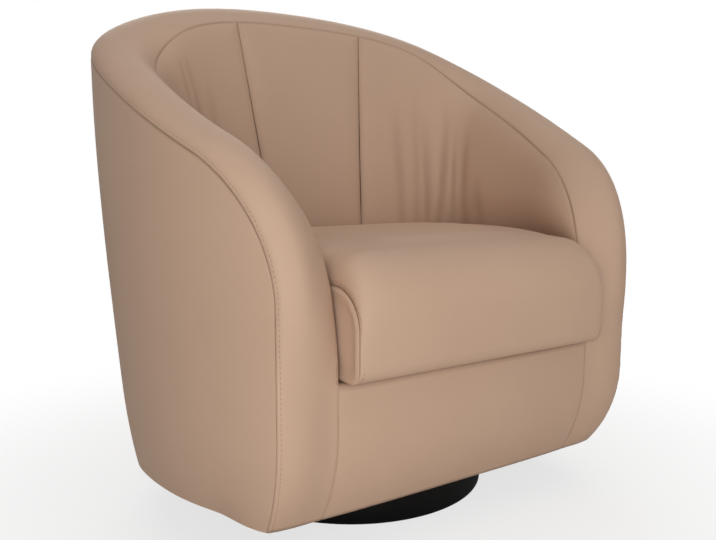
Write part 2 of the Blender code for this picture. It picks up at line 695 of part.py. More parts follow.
bolt_x = abs(BOLT_POINTS[0][0])
for side, label in ((-1.0, "left"), (1.0, "right")):
    bm = bmesh.new()
    add_box(bm, (side * bolt_x - BATTEN_WIDTH / 2, -BATTEN_FRONT, BATTEN_LOW),
            (side * bolt_x + BATTEN_WIDTH / 2, BATTEN_BACK, BATTEN_TOP))
    batten = mesh_object(label + "_batten", bm, BEECH, TUB)
    drill(batten, in_tub([p for p in BOLT_POINTS if p[0] * side > 0]), SCREW_HOLE,
          BATTEN_LOW - DRILL_PAST, PLATE_SCREW_TIP + GAP)

dust_top = PANEL_BOTTOM - GAP
dust_loop = base_outline(WALL_BOTTOM, OUTER + DUST_HEM)
bm = bmesh.new()
add_plate_with_hole(bm, dust_loop, dust_loop, PLATE_RADIUS + DUST_HOLE_EASE, dust_top - DUST_CLOTH, dust_top)
mesh_object("dust_cover", bm, CAMBRIC, TUB)

# Plywood ribs, arm panels and rim bow
RIB_FOOT = PANEL_TOP + GAP


def rib_top(run):
    """Ribs stop under the rim bow."""
    return rim_height(run) - BOW_HEIGHT - RIB_EASE


def rib(name, run, near):
    """One upright rib standing across the wall."""
    runs = [run - RIB_THICK / 2, run + RIB_THICK / 2]
    wall_piece(name, runs, always(RIB_FOOT), rib_top, near, rib_edge,
               full_height, BIRCH_PLY, TUB)


PANEL_NEAR = skin(OUTER)
PANEL_FAR = skin(OUTER + PLYWOOD)
POST_NEAR = skin(OUTER + PLYWOOD + GAP)
ROLL_START = LENGTH - COVER_END_EASE
for side, label in ((-1.0, "left"), (1.0, "right")):
    ends = runs_between(side * ROLL_START, side * (ROLL_RUN + GAP))
    wall_piece(label + "_arm_panel", ends, always(RIB_FOOT), rim_height, PANEL_NEAR, PANEL_FAR,
               full_height, BIRCH_PLY, TUB)
    post = side * (LENGTH - POST_SET_BACK)
    wall_piece(label + "_front_post", [post - RIB_THICK / 2, post + RIB_THICK / 2], always(RIB_FOOT),
               lambda run: rim_height(run) - POST_DROP, POST_NEAR, rib_edge,
               full_height, BEECH, TUB)
    rib(label + "_side_rib", side * (ROLL_RUN - SIDE_RIB_RUN), PANEL_NEAR)
    rib(label + "_back_rib", side * BACK_RIB_SHARE * ROLL_RUN, PANEL_NEAR)
rib("centre_back_rib", 0.0, PANEL_NEAR)

bow_runs = runs_between(-ROLL_RUN, ROLL_RUN)
wall_piece("rim_bow", bow_runs, lambda run: rim_height(run) - BOW_HEIGHT,
           lambda run: rim_height(run) - RIB_EASE, PANEL_NEAR, rib_edge, low_and_high, BIRCH_PLY, TUB)
seat_ring_run = LENGTH - SEAT_RING_END
wall_piece("seat_ring", runs_between(-seat_ring_run, seat_ring_run),
           always(SEAT_RAIL_TOP - SEAT_RAIL_HEIGHT), always(SEAT_RAIL_TOP),
           lambda run, z: rib_edge(run, z) + GAP,
           lambda run, z: rib_edge(run, z) + GAP + SEAT_RAIL_THICK, low_and_high, BIRCH_PLY, TUB)

RAIL_LOW = SEAT_RAIL_TOP - FRONT_RAIL_HEIGHT
rail_front = front_face(RAIL_LOW) + FRONT_STACK + FRONT_BOW
rail_half = min(wall(LENGTH - s, rib_edge(LENGTH - s, SEAT_RAIL_TOP), SEAT_RAIL_TOP).x
                for s in np.linspace(0.0, POST_SET_BACK + RIB_THICK, 9)) - GAP
bm = bmesh.new()
add_box(bm, (-rail_half, rail_front, RAIL_LOW), (rail_half, rail_front + FRONT_RAIL_THICK, SEAT_RAIL_TOP))
mesh_object("front_rail", bm, BEECH, TUB)


# Clear width inside the tub, for the deck and the cushion
@functools.lru_cache(maxsize=None)
def inner_outline(z):
    """X and y of the inside panels on the right at one height, front to back."""
    points = [wall(run, inside_depth(run, z), z) for run in np.linspace(LENGTH, SEAM_LOW, 60)]
    return [p.x for p in points], [p.y for p in points]


def inner_half_width(y, z):
    """Half of the width that a seat piece may take at one place."""
    xs, ys = inner_outline(z)
    return float(min(np.interp((y, y - NOSE_RADIUS_TOP), ys, xs))) - CUSHION_EASE


CUSHION_BACK = inner_outline(CUSHION_BOTTOM)[1][-1] - CUSHION_EASE

# Sinuous springs from the front rail to the seat ring, and the deck cloth on them
spring_start = rail_front + FRONT_RAIL_THICK / 2
SPRING_X = [SPRING_SPACING * k for k in (-1.5, -0.5, 0.5, 1.5)]


def ring_front_y(x):
    """Front edge of the seat ring behind one spring."""
    runs = np.linspace(0.0, HALF_WIDTH, 40)
    points = [wall(run, rib_edge(run, SEAT_RAIL_TOP) + GAP + SEAT_RAIL_THICK, SEAT_RAIL_TOP) for run in runs]
    return float(np.interp(abs(x), [p.x for p in points], [p.y for p in points]))


def wire(name, path, radius, mat, parent):
    """Wire of four sides along an open level path."""
    bm = bmesh.new()
    rings = []
    for k, p in enumerate(path):
        ahead, behind = path[min(k + 1, len(path) - 1)], path[max(k - 1, 0)]
        along = (ahead - behind).normalized()
        across = along.cross(Vector((0.0, 0.0, 1.0))).normalized()
        up = across.cross(along)
        angles = [math.pi / 4 + math.pi / 2 * q for q in range(4)]
        rings.append([bm.verts.new(p + radius * (across * math.cos(a) + up * math.sin(a))) for a in angles])
    for near, far in zip(rings, rings[1:]):
        for q in range(4):
            bm.faces.new((near[q - 1], near[q], far[q], far[q - 1]))
    bm.faces.new(rings[0])
    bm.faces.new(rings[-1])
    return mesh_object(name, bm, mat, parent, 60.0)


for number, x in enumerate(SPRING_X):
    spring_end = ring_front_y(x) + SEAT_RAIL_THICK / 2
    path = []
    for k in range(SPRING_BENDS * 3 + 1):
        share = k / (SPRING_BENDS * 3)
        swing = SPRING_SWING * math.sin(math.pi * SPRING_BENDS * share)
        path.append(Vector((x + swing, spring_start + (spring_end - spring_start) * share, SPRING_HEIGHT)))
    wire(f"seat_spring_{number + 1}", path, SPRING_WIRE / 2, SPRING_STEEL, TUB)

deck_front = rail_front + DECK_HEM
deck_rows = list(np.linspace(deck_front, CUSHION_BACK, 9))
deck_grid = [[(k, y) for k in (-1.0, -0.5, 0.0, 0.5, 1.0)] for y in deck_rows]
deck_top = [[Vector((k * inner_half_width(y, DECK_BOTTOM), y, DECK_BOTTOM + DECK_CLOTH)) for k, y in row]
            for row in deck_grid]
deck_low = [[Vector((p.x, p.y, DECK_BOTTOM)) for p in row] for row in deck_top]
thick_patch("seat_deck", deck_top, deck_low, CANVAS, TUB)

# Elastic webbing behind the back padding
for label, share in (("lower", 0.18), ("middle", 0.48), ("upper", 0.78)):
    def strap_low(run, k=share):
        return CUSHION_SEAM + (rim_height(run) - CUSHION_SEAM) * k - STRAP_WIDTH / 2

    def strap_high(run):
        return strap_low(run) + STRAP_WIDTH

    wall_piece(label + "_strap", runs_between(-STRAP_REACH, STRAP_REACH), strap_low, strap_high,
               lambda run, z: pad_back(run, z) - STRAP_EASE - STRAP,
               lambda run, z: pad_back(run, z) - STRAP_EASE,
               low_and_high, WEB, TUB)

# Outer board and outer cover, one sweep round the tub
OUTER_RUNS = [-ROLL_START] + ALL_RUNS[1:-1] + [ROLL_START]
wall_piece("outer_board", OUTER_RUNS, always(WALL_BOTTOM), rim_height, skin(LEATHER + GAP),
           skin(LEATHER + GAP + OUTER_BOARD), full_height, FIBREBOARD, TUB)
wall_piece("outer_cover", OUTER_RUNS, always(WALL_BOTTOM), rim_height, skin(0.0), skin(LEATHER),
           full_height, TAN_LEATHER, TUB)


# Inside padding and inside leather, in three panels that meet at two seams
def inside_panel(name, edges, near, far, mat):
    """A panel of the inside between two runs that may slant from the rim to the seat."""
    outer, inner = [], []
    for low_run, top_run in edges:
        outer_row, inner_row = [], []
        for share in (-1.0, 0.0, 0.25, 0.5, 0.75, 1.0):
            run = low_run + (top_run - low_run) * max(0.0, share)
            knee = knee_height(rim_height(run))
            top = rim_height(run) - PAD_TOP_EASE
            z = knee + (top - knee) * share if share >= 0.0 else PAD_BOTTOM
            outer_row.append(wall(run, near(run, z), z))
            inner_row.append(wall(run, far(run, z), z))
        outer.append(outer_row)
        inner.append(inner_row)
    thick_patch(name, outer, inner, mat, TUB)


SEAM_GAP = GAP / 2
centre_edges = [((SEAM_LOW - SEAM_GAP) * k, (SEAM_TOP - SEAM_GAP) * k) for k in np.linspace(-1.0, 1.0, 9)]
side_runs = [r for r in HALF_RUNS if r > SEAM_TOP + SEAM_CLEAR]
side_edges = [(ROLL_START, ROLL_START)] + [(r, r) for r in side_runs[1:]]
side_edges += [(SEAM_LOW + SEAM_GAP, SEAM_TOP + SEAM_GAP)]
PANELS = (("left", [(-a, -b) for a, b in side_edges]), ("centre", centre_edges), ("right", side_edges))
for label, edges in PANELS:
    inside_panel("inside_" + label + "_foam", edges, pad_back,
                 lambda run, z: inside_depth(run, z) - LEATHER - GAP, FOAM)
    inside_panel("inside_" + label + "_cover", edges, lambda run, z: inside_depth(run, z) - LEATHER,
                 inside_depth, TAN_LEATHER)


# Padded band on the rim, from the foot of one arm front over the back to the other
def rim_stations():
    """Seam point, inward and crown directions, width, crown height and its skew along the right half."""
    foot = TUCK_LEVELS + [(TUCK_START + ROLL_Z) / 2]
    path = [(LENGTH, z) for z in foot] + [(r, rim_height(r)) for r in HALF_RUNS]
    points = [wall(run, 0.0, z) for run, z in path]
    front_edge = FRONT_HALF_WIDTH - BAND_ARM
    stations = []
    for k, (run, z) in enumerate(path):
        _, _, nx, ny = plan(run)
        inward = Vector((nx, ny, 0.0))
        width = band_width(run)
        if k < len(foot):
            to_front_panel = Vector((front_edge, front_face(z, front_edge), z)) - points[k]
            inward, width = to_front_panel.normalized(), to_front_panel.length
            up = Vector((-inward.y, inward.x, 0.0))
        else:
            ahead = points[min(k + 1, len(points) - 1)]
            along = (ahead - points[k - 1]).normalized()
            if k == len(foot):
                along = Vector((0.0, 0.0, 1.0))
            if k == len(points) - 1:
                along = Vector((-1.0, 0.0, 0.0))
            up = along.cross(inward).normalized()
        lift = smoothstep((z - ROLL_Z) / (rim_height(ROLL_RUN) - ROLL_Z))
        foot_share = 1.0 - (1.0 - CROWN_FOOT_SHARE) * tuck(z)
        crown = (CROWN_FRONT + (CROWN_TOP - CROWN_FRONT) * lift) * foot_share
        skew = CROWN_SKEW_SHARE * (1.0 - lift)
        stations.append((points[k], inward, up, width, crown, skew))
    return stations


def mirrored(station):
    """The same station on the left."""
    flip = Vector((-1.0, 1.0, 1.0))
    point, inward, up, width, crown, skew = station
    return point * flip, inward * flip, up * flip, width, crown, skew


RIGHT_RIM = rim_stations()
RIM = [mirrored(s) for s in RIGHT_RIM] + RIGHT_RIM[-2::-1]


def band_row(station, shrink, shares):
    """Half-ellipse across the band at one station."""
    point, inward, up, width, crown, skew = station
    row = []
    for share in shares:
        a = math.pi * share
        across = width / 2 - (width / 2 - shrink) * math.cos(a)
        height = (crown * (1.0 - skew * share) - shrink) * math.sin(a)
        row.append(point + inward * across + up * (BAND_LIFT + height))
    return row


def flat_row(station, shrink, shares):
    """The flat underside of the band filling."""
    point, inward, up, width, _, _ = station
    return [point + inward * (width / 2 - (width / 2 - shrink) * math.cos(math.pi * s)) + up * BAND_LIFT
            for s in shares]


BAND_SHARES = [k / 6 for k in range(7)]
thick_patch("rim_band", [band_row(s, 0.0, BAND_SHARES) for s in RIM],
            [band_row(s, LEATHER, BAND_SHARES) for s in RIM], TAN_LEATHER, TUB)
FILL = LEATHER + 3 * GAP
thick_patch("rim_foam", [band_row(s, FILL, BAND_SHARES[1:-1]) for s in RIM],
            [flat_row(s, FILL, (0.0, 0.3, 0.5, 0.7, 1.0)) for s in RIM], FOAM, TUB)

# Front rail padding and leather
front_half = FRONT_HALF_WIDTH - BAND_ARM - GAP
front_top = SEAT_RAIL_TOP + DECK_CLOTH
front_heights = TUCK_LEVELS + [front_top]
front_spots = [front_half * k for k in (-1.0, -0.6, -0.2, 0.2, 0.6, 1.0)]


def front_sheet(depth):
    """A sheet behind the front face at one depth."""
    return [[Vector((x, front_face(z, x) + depth, z)) for x in front_spots] for z in front_heights]


thick_patch("front_cover", front_sheet(0.0), front_sheet(LEATHER), TAN_LEATHER, TUB)
thick_patch("front_foam", front_sheet(LEATHER + GAP), front_sheet(LEATHER + GAP + FRONT_PAD), FOAM, TUB)


# Seat cushion: a wrap over the bottom, nose and top, boxing at the sides and a zip panel behind
CORE = LEATHER + CORE_EASE
ACROSS = [-1.0, -0.93, -0.78, -0.55, -0.28, 0.0, 0.28, 0.55, 0.78, 0.93, 1.0]


def section_rows(shrink, back_cut):
    """Share of the length, y, lowest and highest z of the side section, back to nose."""
    low, high = CUSHION_BOTTOM + shrink, CUSHION_SEAM - shrink
    back, front = CUSHION_BACK - back_cut, -CUSHION_FRONT + shrink
    rows = []
    for share in (0.0, 0.08, 0.18, 0.34, 0.52, 0.68, 0.79, 0.86, 0.915, 0.955, 0.985, 0.998):
        y = back + (front - back) * share
        r_low, r_top = NOSE_RADIUS_LOW - shrink, NOSE_RADIUS_TOP - shrink
        in_low, in_top = max(0.0, front + r_low - y), max(0.0, front + r_top - y)
        rows.append((share, y, low + r_low - math.sqrt(r_low ** 2 - in_low ** 2),
                     high - r_top + math.sqrt(r_top ** 2 - in_top ** 2)))
    return rows


def cushion_point(across, share, y, z, side_cut):
    """Place a section point across the cushion, with the crown and the nose."""
    full = inner_half_width(CUSHION_BACK - (CUSHION_BACK + CUSHION_FRONT) * share, CUSHION_SEAM)
    reach = full - side_cut
    fall = 1.0 - abs(across) ** CROWN_FULLNESS
    rise = min(1.0, max(0.0, (z - CUSHION_BOTTOM) / CUSHION_SIDE_HEIGHT))
    swell = math.sin(math.pi * (0.26 + 0.58 * share)) ** 0.7
    nose = smoothstep((share - 0.80) / 0.20) * math.sin(math.pi * rise)
    return Vector((across * reach, y - CUSHION_NOSE * nose * fall,
                   z + CUSHION_CROWN * smoothstep(rise) * fall * swell))


def wrap_grid(shrink):
    """The wrap from the back of the bottom round the nose to the back of the top."""
    rows = section_rows(shrink, 0.0)
    share, tip_y, tip_low, tip_high = rows[-1]
    loop = [(share, y, low) for share, y, low, _ in rows] + [(share, tip_y, (tip_low + tip_high) / 2)]
    loop += [(share, y, high) for share, y, _, high in rows[::-1]]
    return [[cushion_point(k, share, y, z, 0.0) for k in ACROSS] for share, y, z in loop]


def core_grid(level):
    """Upper (3) or lower (2) face of the foam core."""
    rows = section_rows(CORE, CORE)
    return [[cushion_point(k, row[0], row[1], row[level], CORE) for k in ACROSS] for row in rows]


def boxing_grid(side, side_cut):
    """Side panel of the cushion inside the edges of the wrap."""
    return [[cushion_point(side, share, y, low + (high - low) * k, side_cut) for k in PANEL_SHARES]
            for share, y, low, high in section_rows(CORE, CORE)]


def zip_grid(y):
    """Back panel of the cushion at one y."""
    low, high = CUSHION_BOTTOM + CORE, CUSHION_SEAM - CORE
    return [[cushion_point(k, 0.0, y, low + (high - low) * j, CORE) for k in ACROSS] for j in PANEL_SHARES]


PANEL_SHARES = (0.0, 0.35, 0.7, 1.0)
thick_patch("cushion_wrap", wrap_grid(0.0), wrap_grid(LEATHER), TAN_LEATHER, TUB)
thick_patch("cushion_foam", core_grid(3), core_grid(2), FOAM, TUB)
for side, label in ((-1.0, "left"), (1.0, "right")):
    thick_patch(label + "_boxing", boxing_grid(side, 0.0), boxing_grid(side, LEATHER), TAN_LEATHER, TUB)
thick_patch("zip_panel", zip_grid(CUSHION_BACK), zip_grid(CUSHION_BACK - LEATHER), TAN_LEATHER, TUB)
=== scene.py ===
# %% [markdown]
# Swivel tub chair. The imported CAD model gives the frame: where each body is and how it turns.
# This lesson dresses it: smooth leather covers, a simulated seat cushion, stitching and a lacquered base.
# All lengths are in metres, and every piece is made where the CAD model has it.

# %% Load the frame
import math

import bmesh
import bpy
import numpy as np
from mathutils import Matrix, Vector
from mathutils.bvhtree import BVHTree


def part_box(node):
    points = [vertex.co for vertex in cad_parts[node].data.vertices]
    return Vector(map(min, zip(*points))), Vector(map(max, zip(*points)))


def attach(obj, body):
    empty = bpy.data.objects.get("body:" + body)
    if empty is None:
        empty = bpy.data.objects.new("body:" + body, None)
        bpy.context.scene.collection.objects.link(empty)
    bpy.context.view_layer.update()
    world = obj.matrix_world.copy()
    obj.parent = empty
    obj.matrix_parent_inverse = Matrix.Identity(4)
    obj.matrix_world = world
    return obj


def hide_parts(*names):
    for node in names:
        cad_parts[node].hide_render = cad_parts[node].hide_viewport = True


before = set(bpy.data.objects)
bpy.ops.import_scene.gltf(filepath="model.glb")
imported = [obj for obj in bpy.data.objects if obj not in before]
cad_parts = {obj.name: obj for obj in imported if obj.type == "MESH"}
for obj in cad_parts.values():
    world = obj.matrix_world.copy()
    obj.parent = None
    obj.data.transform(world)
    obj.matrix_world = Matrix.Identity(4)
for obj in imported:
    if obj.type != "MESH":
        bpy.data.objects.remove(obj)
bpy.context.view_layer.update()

scene = bpy.context.scene

# %% [markdown]
# The camera comes first, because every later choice is judged through it. It was fitted to the photograph
# from the round base, the upright arm fronts and the symmetry of the tub.

# %% Camera
CAMERA_PLACE = Vector((-0.7685, -1.1328, 0.5448))
CAMERA_YAW = 0.604
CAMERA_PITCH = 0.126
CAMERA_LENS = 39.04

camera_data = bpy.data.cameras.new("photo_camera")
camera_data.lens = CAMERA_LENS
camera_data.sensor_width = 36.0
camera = bpy.data.objects.new("photo_camera", camera_data)
looking = Vector((math.sin(CAMERA_YAW) * math.cos(CAMERA_PITCH),
                  math.cos(CAMERA_YAW) * math.cos(CAMERA_PITCH), -math.sin(CAMERA_PITCH)))
camera.matrix_world = (Matrix.Translation(CAMERA_PLACE)
                       @ looking.to_track_quat("-Z", "Y").to_matrix().to_4x4())
scene.collection.objects.link(camera)
scene.camera = camera
print("camera at", tuple(round(c, 3) for c in CAMERA_PLACE))

# %% [markdown]
# A finish is a small node tree. One function turns a written sRGB colour into the linear one that the
# shader wants, and one adds a node with its settings and its links, so each tree reads as a list.

# %% Helpers for finishes
MM = 0.001


def linear(hex_colour, alpha=1.0):
    """sRGB hex to a linear colour."""
    parts = [int(hex_colour[k:k + 2], 16) / 255 for k in (1, 3, 5)]
    return tuple(c / 12.92 if c <= 0.04045 else ((c + 0.055) / 1.055) ** 2.4 for c in parts) + (alpha,)


def add_node(tree, kind, settings=(), inputs=()):
    """Add a node, set its properties, and set or link its inputs."""
    node = tree.nodes.new(kind)
    for key, value in dict(settings).items():
        setattr(node, key, value)
    for key, value in dict(inputs).items():
        if isinstance(value, bpy.types.NodeSocket):
            tree.links.new(value, node.inputs[key])
        else:
            node.inputs[key].default_value = value
    return node


def new_finish(name):
    """An empty material, its tree and the piece's own coordinates."""
    material = bpy.data.materials.new(name)
    material.use_nodes = True
    tree = material.node_tree
    tree.nodes.clear()
    return material, tree, add_node(tree, "ShaderNodeTexCoord").outputs["Object"]


def close_finish(tree, inputs):
    """End a finish: its shader with these values and links, and the output."""
    shader = add_node(tree, "ShaderNodeBsdfPrincipled", inputs=inputs)
    add_node(tree, "ShaderNodeOutputMaterial", inputs={"Surface": shader.outputs["BSDF"]})


print("sRGB mid grey is", round(linear("#808080")[0], 3), "in linear light")


# %% [markdown]
# The covers are corrected-grain cowhide, embossed with a fine pebble and sprayed with a soft matt coat.
# The eye gets a warm even tan, a broad soft sheen, darker lines where it is sewn, painted shade in creases,
# and a faint cloudiness from the dye. The real pebble is about 1 mm; it is drawn at 1.7 mm so that it shows
# at this size.

# %% Tan leather
PEBBLE_MM = 1.7
CLOUD_MM = 140.0
LEATHER_TAN = "#BC9D86"
LEATHER_PALE = "#C4A58E"
LEATHER_SEAM_AND_PAINTED_SHADE = "#6E4E3A"


def make_leather(name):
    """Pebbled tan leather that darkens where the seam attribute is high: along seams, and as painted shade in
    creases.
    """
    material, tree, place = new_finish(name)
    clouds = add_node(tree, "ShaderNodeTexNoise", inputs={
        "Vector": place, "Scale": 1.0 / (CLOUD_MM * MM), "Detail": 3.0, "Roughness": 0.55})
    tan = add_node(tree, "ShaderNodeMix", {"data_type": "RGBA"}, {
        0: clouds.outputs["Fac"], 6: linear(LEATHER_TAN), 7: linear(LEATHER_PALE)})
    # The seam attribute holds the darkening along seams and the painted shade in creases.
    seam = add_node(tree, "ShaderNodeAttribute", {"attribute_name": "seam"})
    uneven = add_node(tree, "ShaderNodeMapRange", inputs={
        "Value": clouds.outputs["Fac"], "From Min": 0.35, "From Max": 0.65, "To Min": 0.30, "To Max": 0.60})
    sewn = add_node(tree, "ShaderNodeMath", {"operation": "MULTIPLY"}, {
        0: seam.outputs["Fac"], 1: uneven.outputs[0]})
    colour = add_node(tree, "ShaderNodeMix", {"data_type": "RGBA"}, {
        0: sewn.outputs[0], 6: tan.outputs[2], 7: linear(LEATHER_SEAM_AND_PAINTED_SHADE)})
    pebble = add_node(tree, "ShaderNodeTexVoronoi", {"feature": "DISTANCE_TO_EDGE"}, {
        "Vector": place, "Scale": 1.0 / (PEBBLE_MM * MM), "Randomness": 1.0})
    flat_top = add_node(tree, "ShaderNodeMapRange", inputs={
        "Value": pebble.outputs["Distance"], "From Max": 0.22})
    bump = add_node(tree, "ShaderNodeBump", inputs={
        "Height": flat_top.outputs[0], "Strength": 0.16, "Distance": 0.10 * MM})
    rough = add_node(tree, "ShaderNodeMapRange", inputs={
        "Value": clouds.outputs["Fac"], "To Min": 0.54, "To Max": 0.64})
    close_finish(tree, {"Base Color": colour.outputs[2], "Roughness": rough.outputs[0],
                        "Normal": bump.outputs["Normal"], "IOR": 1.46, "Specular IOR Level": 0.24})
    return material


tan_leather = make_leather("tan_pebbled_leather")
print("finish", tan_leather.name)

# %% [markdown]
# The tub's shape follows one rule, the same as in the CAD model: a rim seam in plan, an ellipse at the
# arms and a fuller curve at the back, a rim height along it, and a depth measured inwards from the seam.
# The covers below are all points of that wall, taken closely enough to look smooth.

# %% Sizes of the tub
TUB_SET_BACK = 0.030
HALF_WIDTH = 0.420
BACK_DEPTH = 0.284
FRONT_DEPTH = 0.353
FRONT_HALF_WIDTH = 0.331
BACK_POWER = 2.33
RIM_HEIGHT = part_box("outer_cover")[1][2]
WALL_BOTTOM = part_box("outer_cover")[0][2]
RIM_SLOPE = 0.475
ARM_RADIUS = 0.215
TAPER_SLOPE, TAPER_REACH, FLANK_BULGE = 0.130, 0.250, 0.002
TUCK_START, TUCK_RADIUS, TUCK_FADE = 0.220, 0.245, 0.250
TUCK_FRONT, TUCK_CORNER, TUCK_POWER = 0.040, 0.011, 4
TUCK_ARM, TUCK_SIDE, TUCK_BACK = 0.011, 0.028, 0.010
TUCK_SIDE_Y, TUCK_BACK_Y = -0.240, 0.050
BAND_ARM, BAND_BACK = 0.091, 0.134
BACK_SLOPE, LEAN_POWER = 0.184, 1.5
CUSHION_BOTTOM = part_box("cushion_wrap")[0][2]
CUSHION_SEAM = CUSHION_BOTTOM + 0.138


def smoothstep(value):
    """Ease from 0 to 1."""
    t = np.clip(value, 0.0, 1.0)
    return t * t * (3.0 - 2.0 * t)


def bell(value, width):
    """Fall from 1 at zero to next to nothing two widths away."""
    return np.exp(-(value / width) ** 2)


print("rim at", round(RIM_HEIGHT, 4), "hem at", round(WALL_BOTTOM, 4))

# %% Plan of the rim seam
FRONT_REACH = FRONT_DEPTH / math.sqrt(1.0 - (FRONT_HALF_WIDTH / HALF_WIDTH) ** 2)
FRONT_SAMPLES, BACK_SAMPLES = 900, 1400
front_angle = np.linspace(math.asin(FRONT_DEPTH / FRONT_REACH), 0.0, FRONT_SAMPLES)
back_angle = np.linspace(0.0, math.pi / 2, BACK_SAMPLES)[1:]
seam_x = np.concatenate([HALF_WIDTH * np.cos(front_angle),
                         HALF_WIDTH * np.clip(np.cos(back_angle), 0, 1) ** (2 / BACK_POWER)])
seam_y = np.concatenate([-FRONT_REACH * np.sin(front_angle),
                         BACK_DEPTH * np.sin(back_angle) ** (2 / BACK_POWER)])
seam_x, seam_y = np.append(seam_x, -seam_x[-2::-1]), np.append(seam_y, seam_y[-2::-1])
seam_run = np.append(0.0, np.cumsum(np.hypot(np.diff(seam_x), np.diff(seam_y))))
LENGTH = seam_run[-1] / 2
TANGENT_STEP = 0.012


def plan(run):
    """Rim seam point in plan and the inward direction there; run is from the middle of the back."""
    side = np.where(run < 0, -1.0, 1.0)
    s = LENGTH - np.abs(run)
    x, y = np.interp(s, seam_run, seam_x), np.interp(s, seam_run, seam_y)
    ahead, behind = s + TANGENT_STEP, np.maximum(0.0, s - TANGENT_STEP)
    tx = np.interp(ahead, seam_run, seam_x) - np.interp(behind, seam_run, seam_x)
    ty = np.interp(ahead, seam_run, seam_y) - np.interp(behind, seam_run, seam_y)
    size = np.hypot(tx, ty)
    ease = smoothstep((y + FRONT_DEPTH) / ARM_RADIUS)
    nx, ny = -ty / size * ease - (1.0 - ease), tx / size * ease
    size = np.hypot(nx, ny)
    return side * x, y, side * nx / size, ny / size


ROLL_Y = ARM_RADIUS - FRONT_DEPTH
ROLL_Z = RIM_HEIGHT - RIM_SLOPE * (BACK_DEPTH - ROLL_Y) - ARM_RADIUS * math.sqrt(1.0 + RIM_SLOPE ** 2)
ROLL_END = ROLL_Y - ARM_RADIUS * math.sin(math.atan(RIM_SLOPE))
half = seam_run <= LENGTH
ROLL_RUN = LENGTH - float(np.interp(ROLL_END, seam_y[half], seam_run[half]))
print("rim seam from back to front", round(LENGTH, 4), "arm front starts to curve at", round(ROLL_Z, 4))

# %% Wall coordinates


def rim_height(run):
    """Height of the rim seam: an even fall to the arms, then a quarter round to the arm front."""
    y = plan(run)[1]
    fall = RIM_HEIGHT - RIM_SLOPE * (BACK_DEPTH - y)
    round_off = ROLL_Z + np.sqrt(np.maximum(0.0, ARM_RADIUS ** 2 - (y - ROLL_Y) ** 2))
    return np.where(y > ROLL_END, fall, round_off)


def backness(run):
    """0 at the arm fronts, 1 at the middle of the back."""
    return (plan(run)[1] + FRONT_DEPTH) / (BACK_DEPTH + FRONT_DEPTH)


def band_width(run):
    """Width of the padded band on the rim."""
    return BAND_ARM + (BAND_BACK - BAND_ARM) * smoothstep(plan(run)[1] / BACK_DEPTH)


def outer_inset(run, z):
    """How far the outer wall stands inside the rim seam."""
    drop = np.maximum(0.0, rim_height(run) - z)
    lean = TAPER_SLOPE * (np.hypot(drop, TAPER_REACH) - TAPER_REACH)
    swell = FLANK_BULGE * np.sin(math.pi * np.minimum(1.0, drop / (2 * TAPER_REACH)))
    return backness(run) * (lean - swell)


def round_over(share):
    """Drop of a quarter round of radius 1 at a share of its width."""
    return 1.0 - np.sqrt(1.0 - np.clip(share, 0.0, 1.0) ** 2)


def tuck(z):
    """How much of the lower edge is turned under at this height, from 0 to 1 at the bottom."""
    return round_over((TUCK_START - z) / TUCK_RADIUS) / round_over((TUCK_START - WALL_BOTTOM) / TUCK_RADIUS)


def side_tuck(y):
    """How far the side turns under: most behind the arm front."""
    toward_front = smoothstep((y + FRONT_DEPTH) / (TUCK_SIDE_Y + FRONT_DEPTH))
    toward_back = smoothstep((y - TUCK_SIDE_Y) / (TUCK_BACK_Y - TUCK_SIDE_Y))
    return TUCK_ARM + (TUCK_SIDE - TUCK_ARM) * toward_front + (TUCK_BACK - TUCK_SIDE) * toward_back


def front_tuck(x):
    """How far the front turns under: more towards the corners, so that these are round."""
    return TUCK_FRONT + TUCK_CORNER * np.minimum(1.0, np.abs(x) / FRONT_HALF_WIDTH) ** TUCK_POWER


def wall(run, depth, z):
    """Points of the tub wall from wall coordinates."""
    x, y, nx, ny = plan(run)
    turned_in = tuck(z)
    inward = depth + side_tuck(y) * turned_in
    lift = front_tuck(x) * turned_in * (1.0 - smoothstep((y + FRONT_DEPTH) / TUCK_FADE))
    return np.stack([x + nx * inward, y + ny * inward + lift + TUB_SET_BACK, z + 0.0 * x], axis=-1)


def inside_depth(run, z):
    """Depth of the upholstered inner face: leaning above the cushion, upright beside it."""
    lean = BACK_SLOPE * backness(run) ** LEAN_POWER
    return band_width(run) + lean * np.maximum(0.0, rim_height(run) - np.maximum(z, CUSHION_SEAM))


print("band", [round(float(w), 3) for w in band_width(np.array([LENGTH, 0.0]))], "wide at arm and back")

# %% [markdown]
# A cover is a grid of points with the leather's thickness behind it. Towards a sewn edge the leather
# rolls over into the seam, so the grid has close rows there. The same distances give the seam attribute
# that darkens the leather, and the lines that the stitches follow.

# %% Helpers for leather covers
LEATHER = 2.2 * MM
SEAM_WIDTH = 5.5 * MM
SEAM_DEPTH = 1.9 * MM
SEAM_SHADE = 2.4 * MM
EDGE_ROWS = np.array([0.0, 0.4, 0.9, 1.5, 2.3, 3.4, 5.0, 7.0, 10.0]) * MM


def spaced(length, step):
    """Shares from 0 to 1 along a length, with close rows near both ends."""
    count = max(2, int(round((length - 2 * EDGE_ROWS[-1]) / step)) + 1)
    middle = np.linspace(EDGE_ROWS[-1], length - EDGE_ROWS[-1], count)
    return np.concatenate([EDGE_ROWS[:-1], middle, length - EDGE_ROWS[-2::-1]]) / length


def grid_normals(grid, facing):
    """Unit normals of a grid of points; facing is 1 or -1."""
    normals = np.cross(np.gradient(grid, axis=0), np.gradient(grid, axis=1)) * facing
    return normals / np.maximum(1e-12, np.linalg.norm(normals, axis=-1, keepdims=True))


def edge_distance(grid, axis, from_end):
    """Distance over the surface from one edge of a grid."""
    steps = np.linalg.norm(np.diff(grid, axis=axis), axis=-1)
    reach = np.insert(np.cumsum(steps, axis=axis), 0, 0.0, axis=axis)
    if from_end:
        reach = np.take(reach, [-1], axis=axis) - reach
    return reach


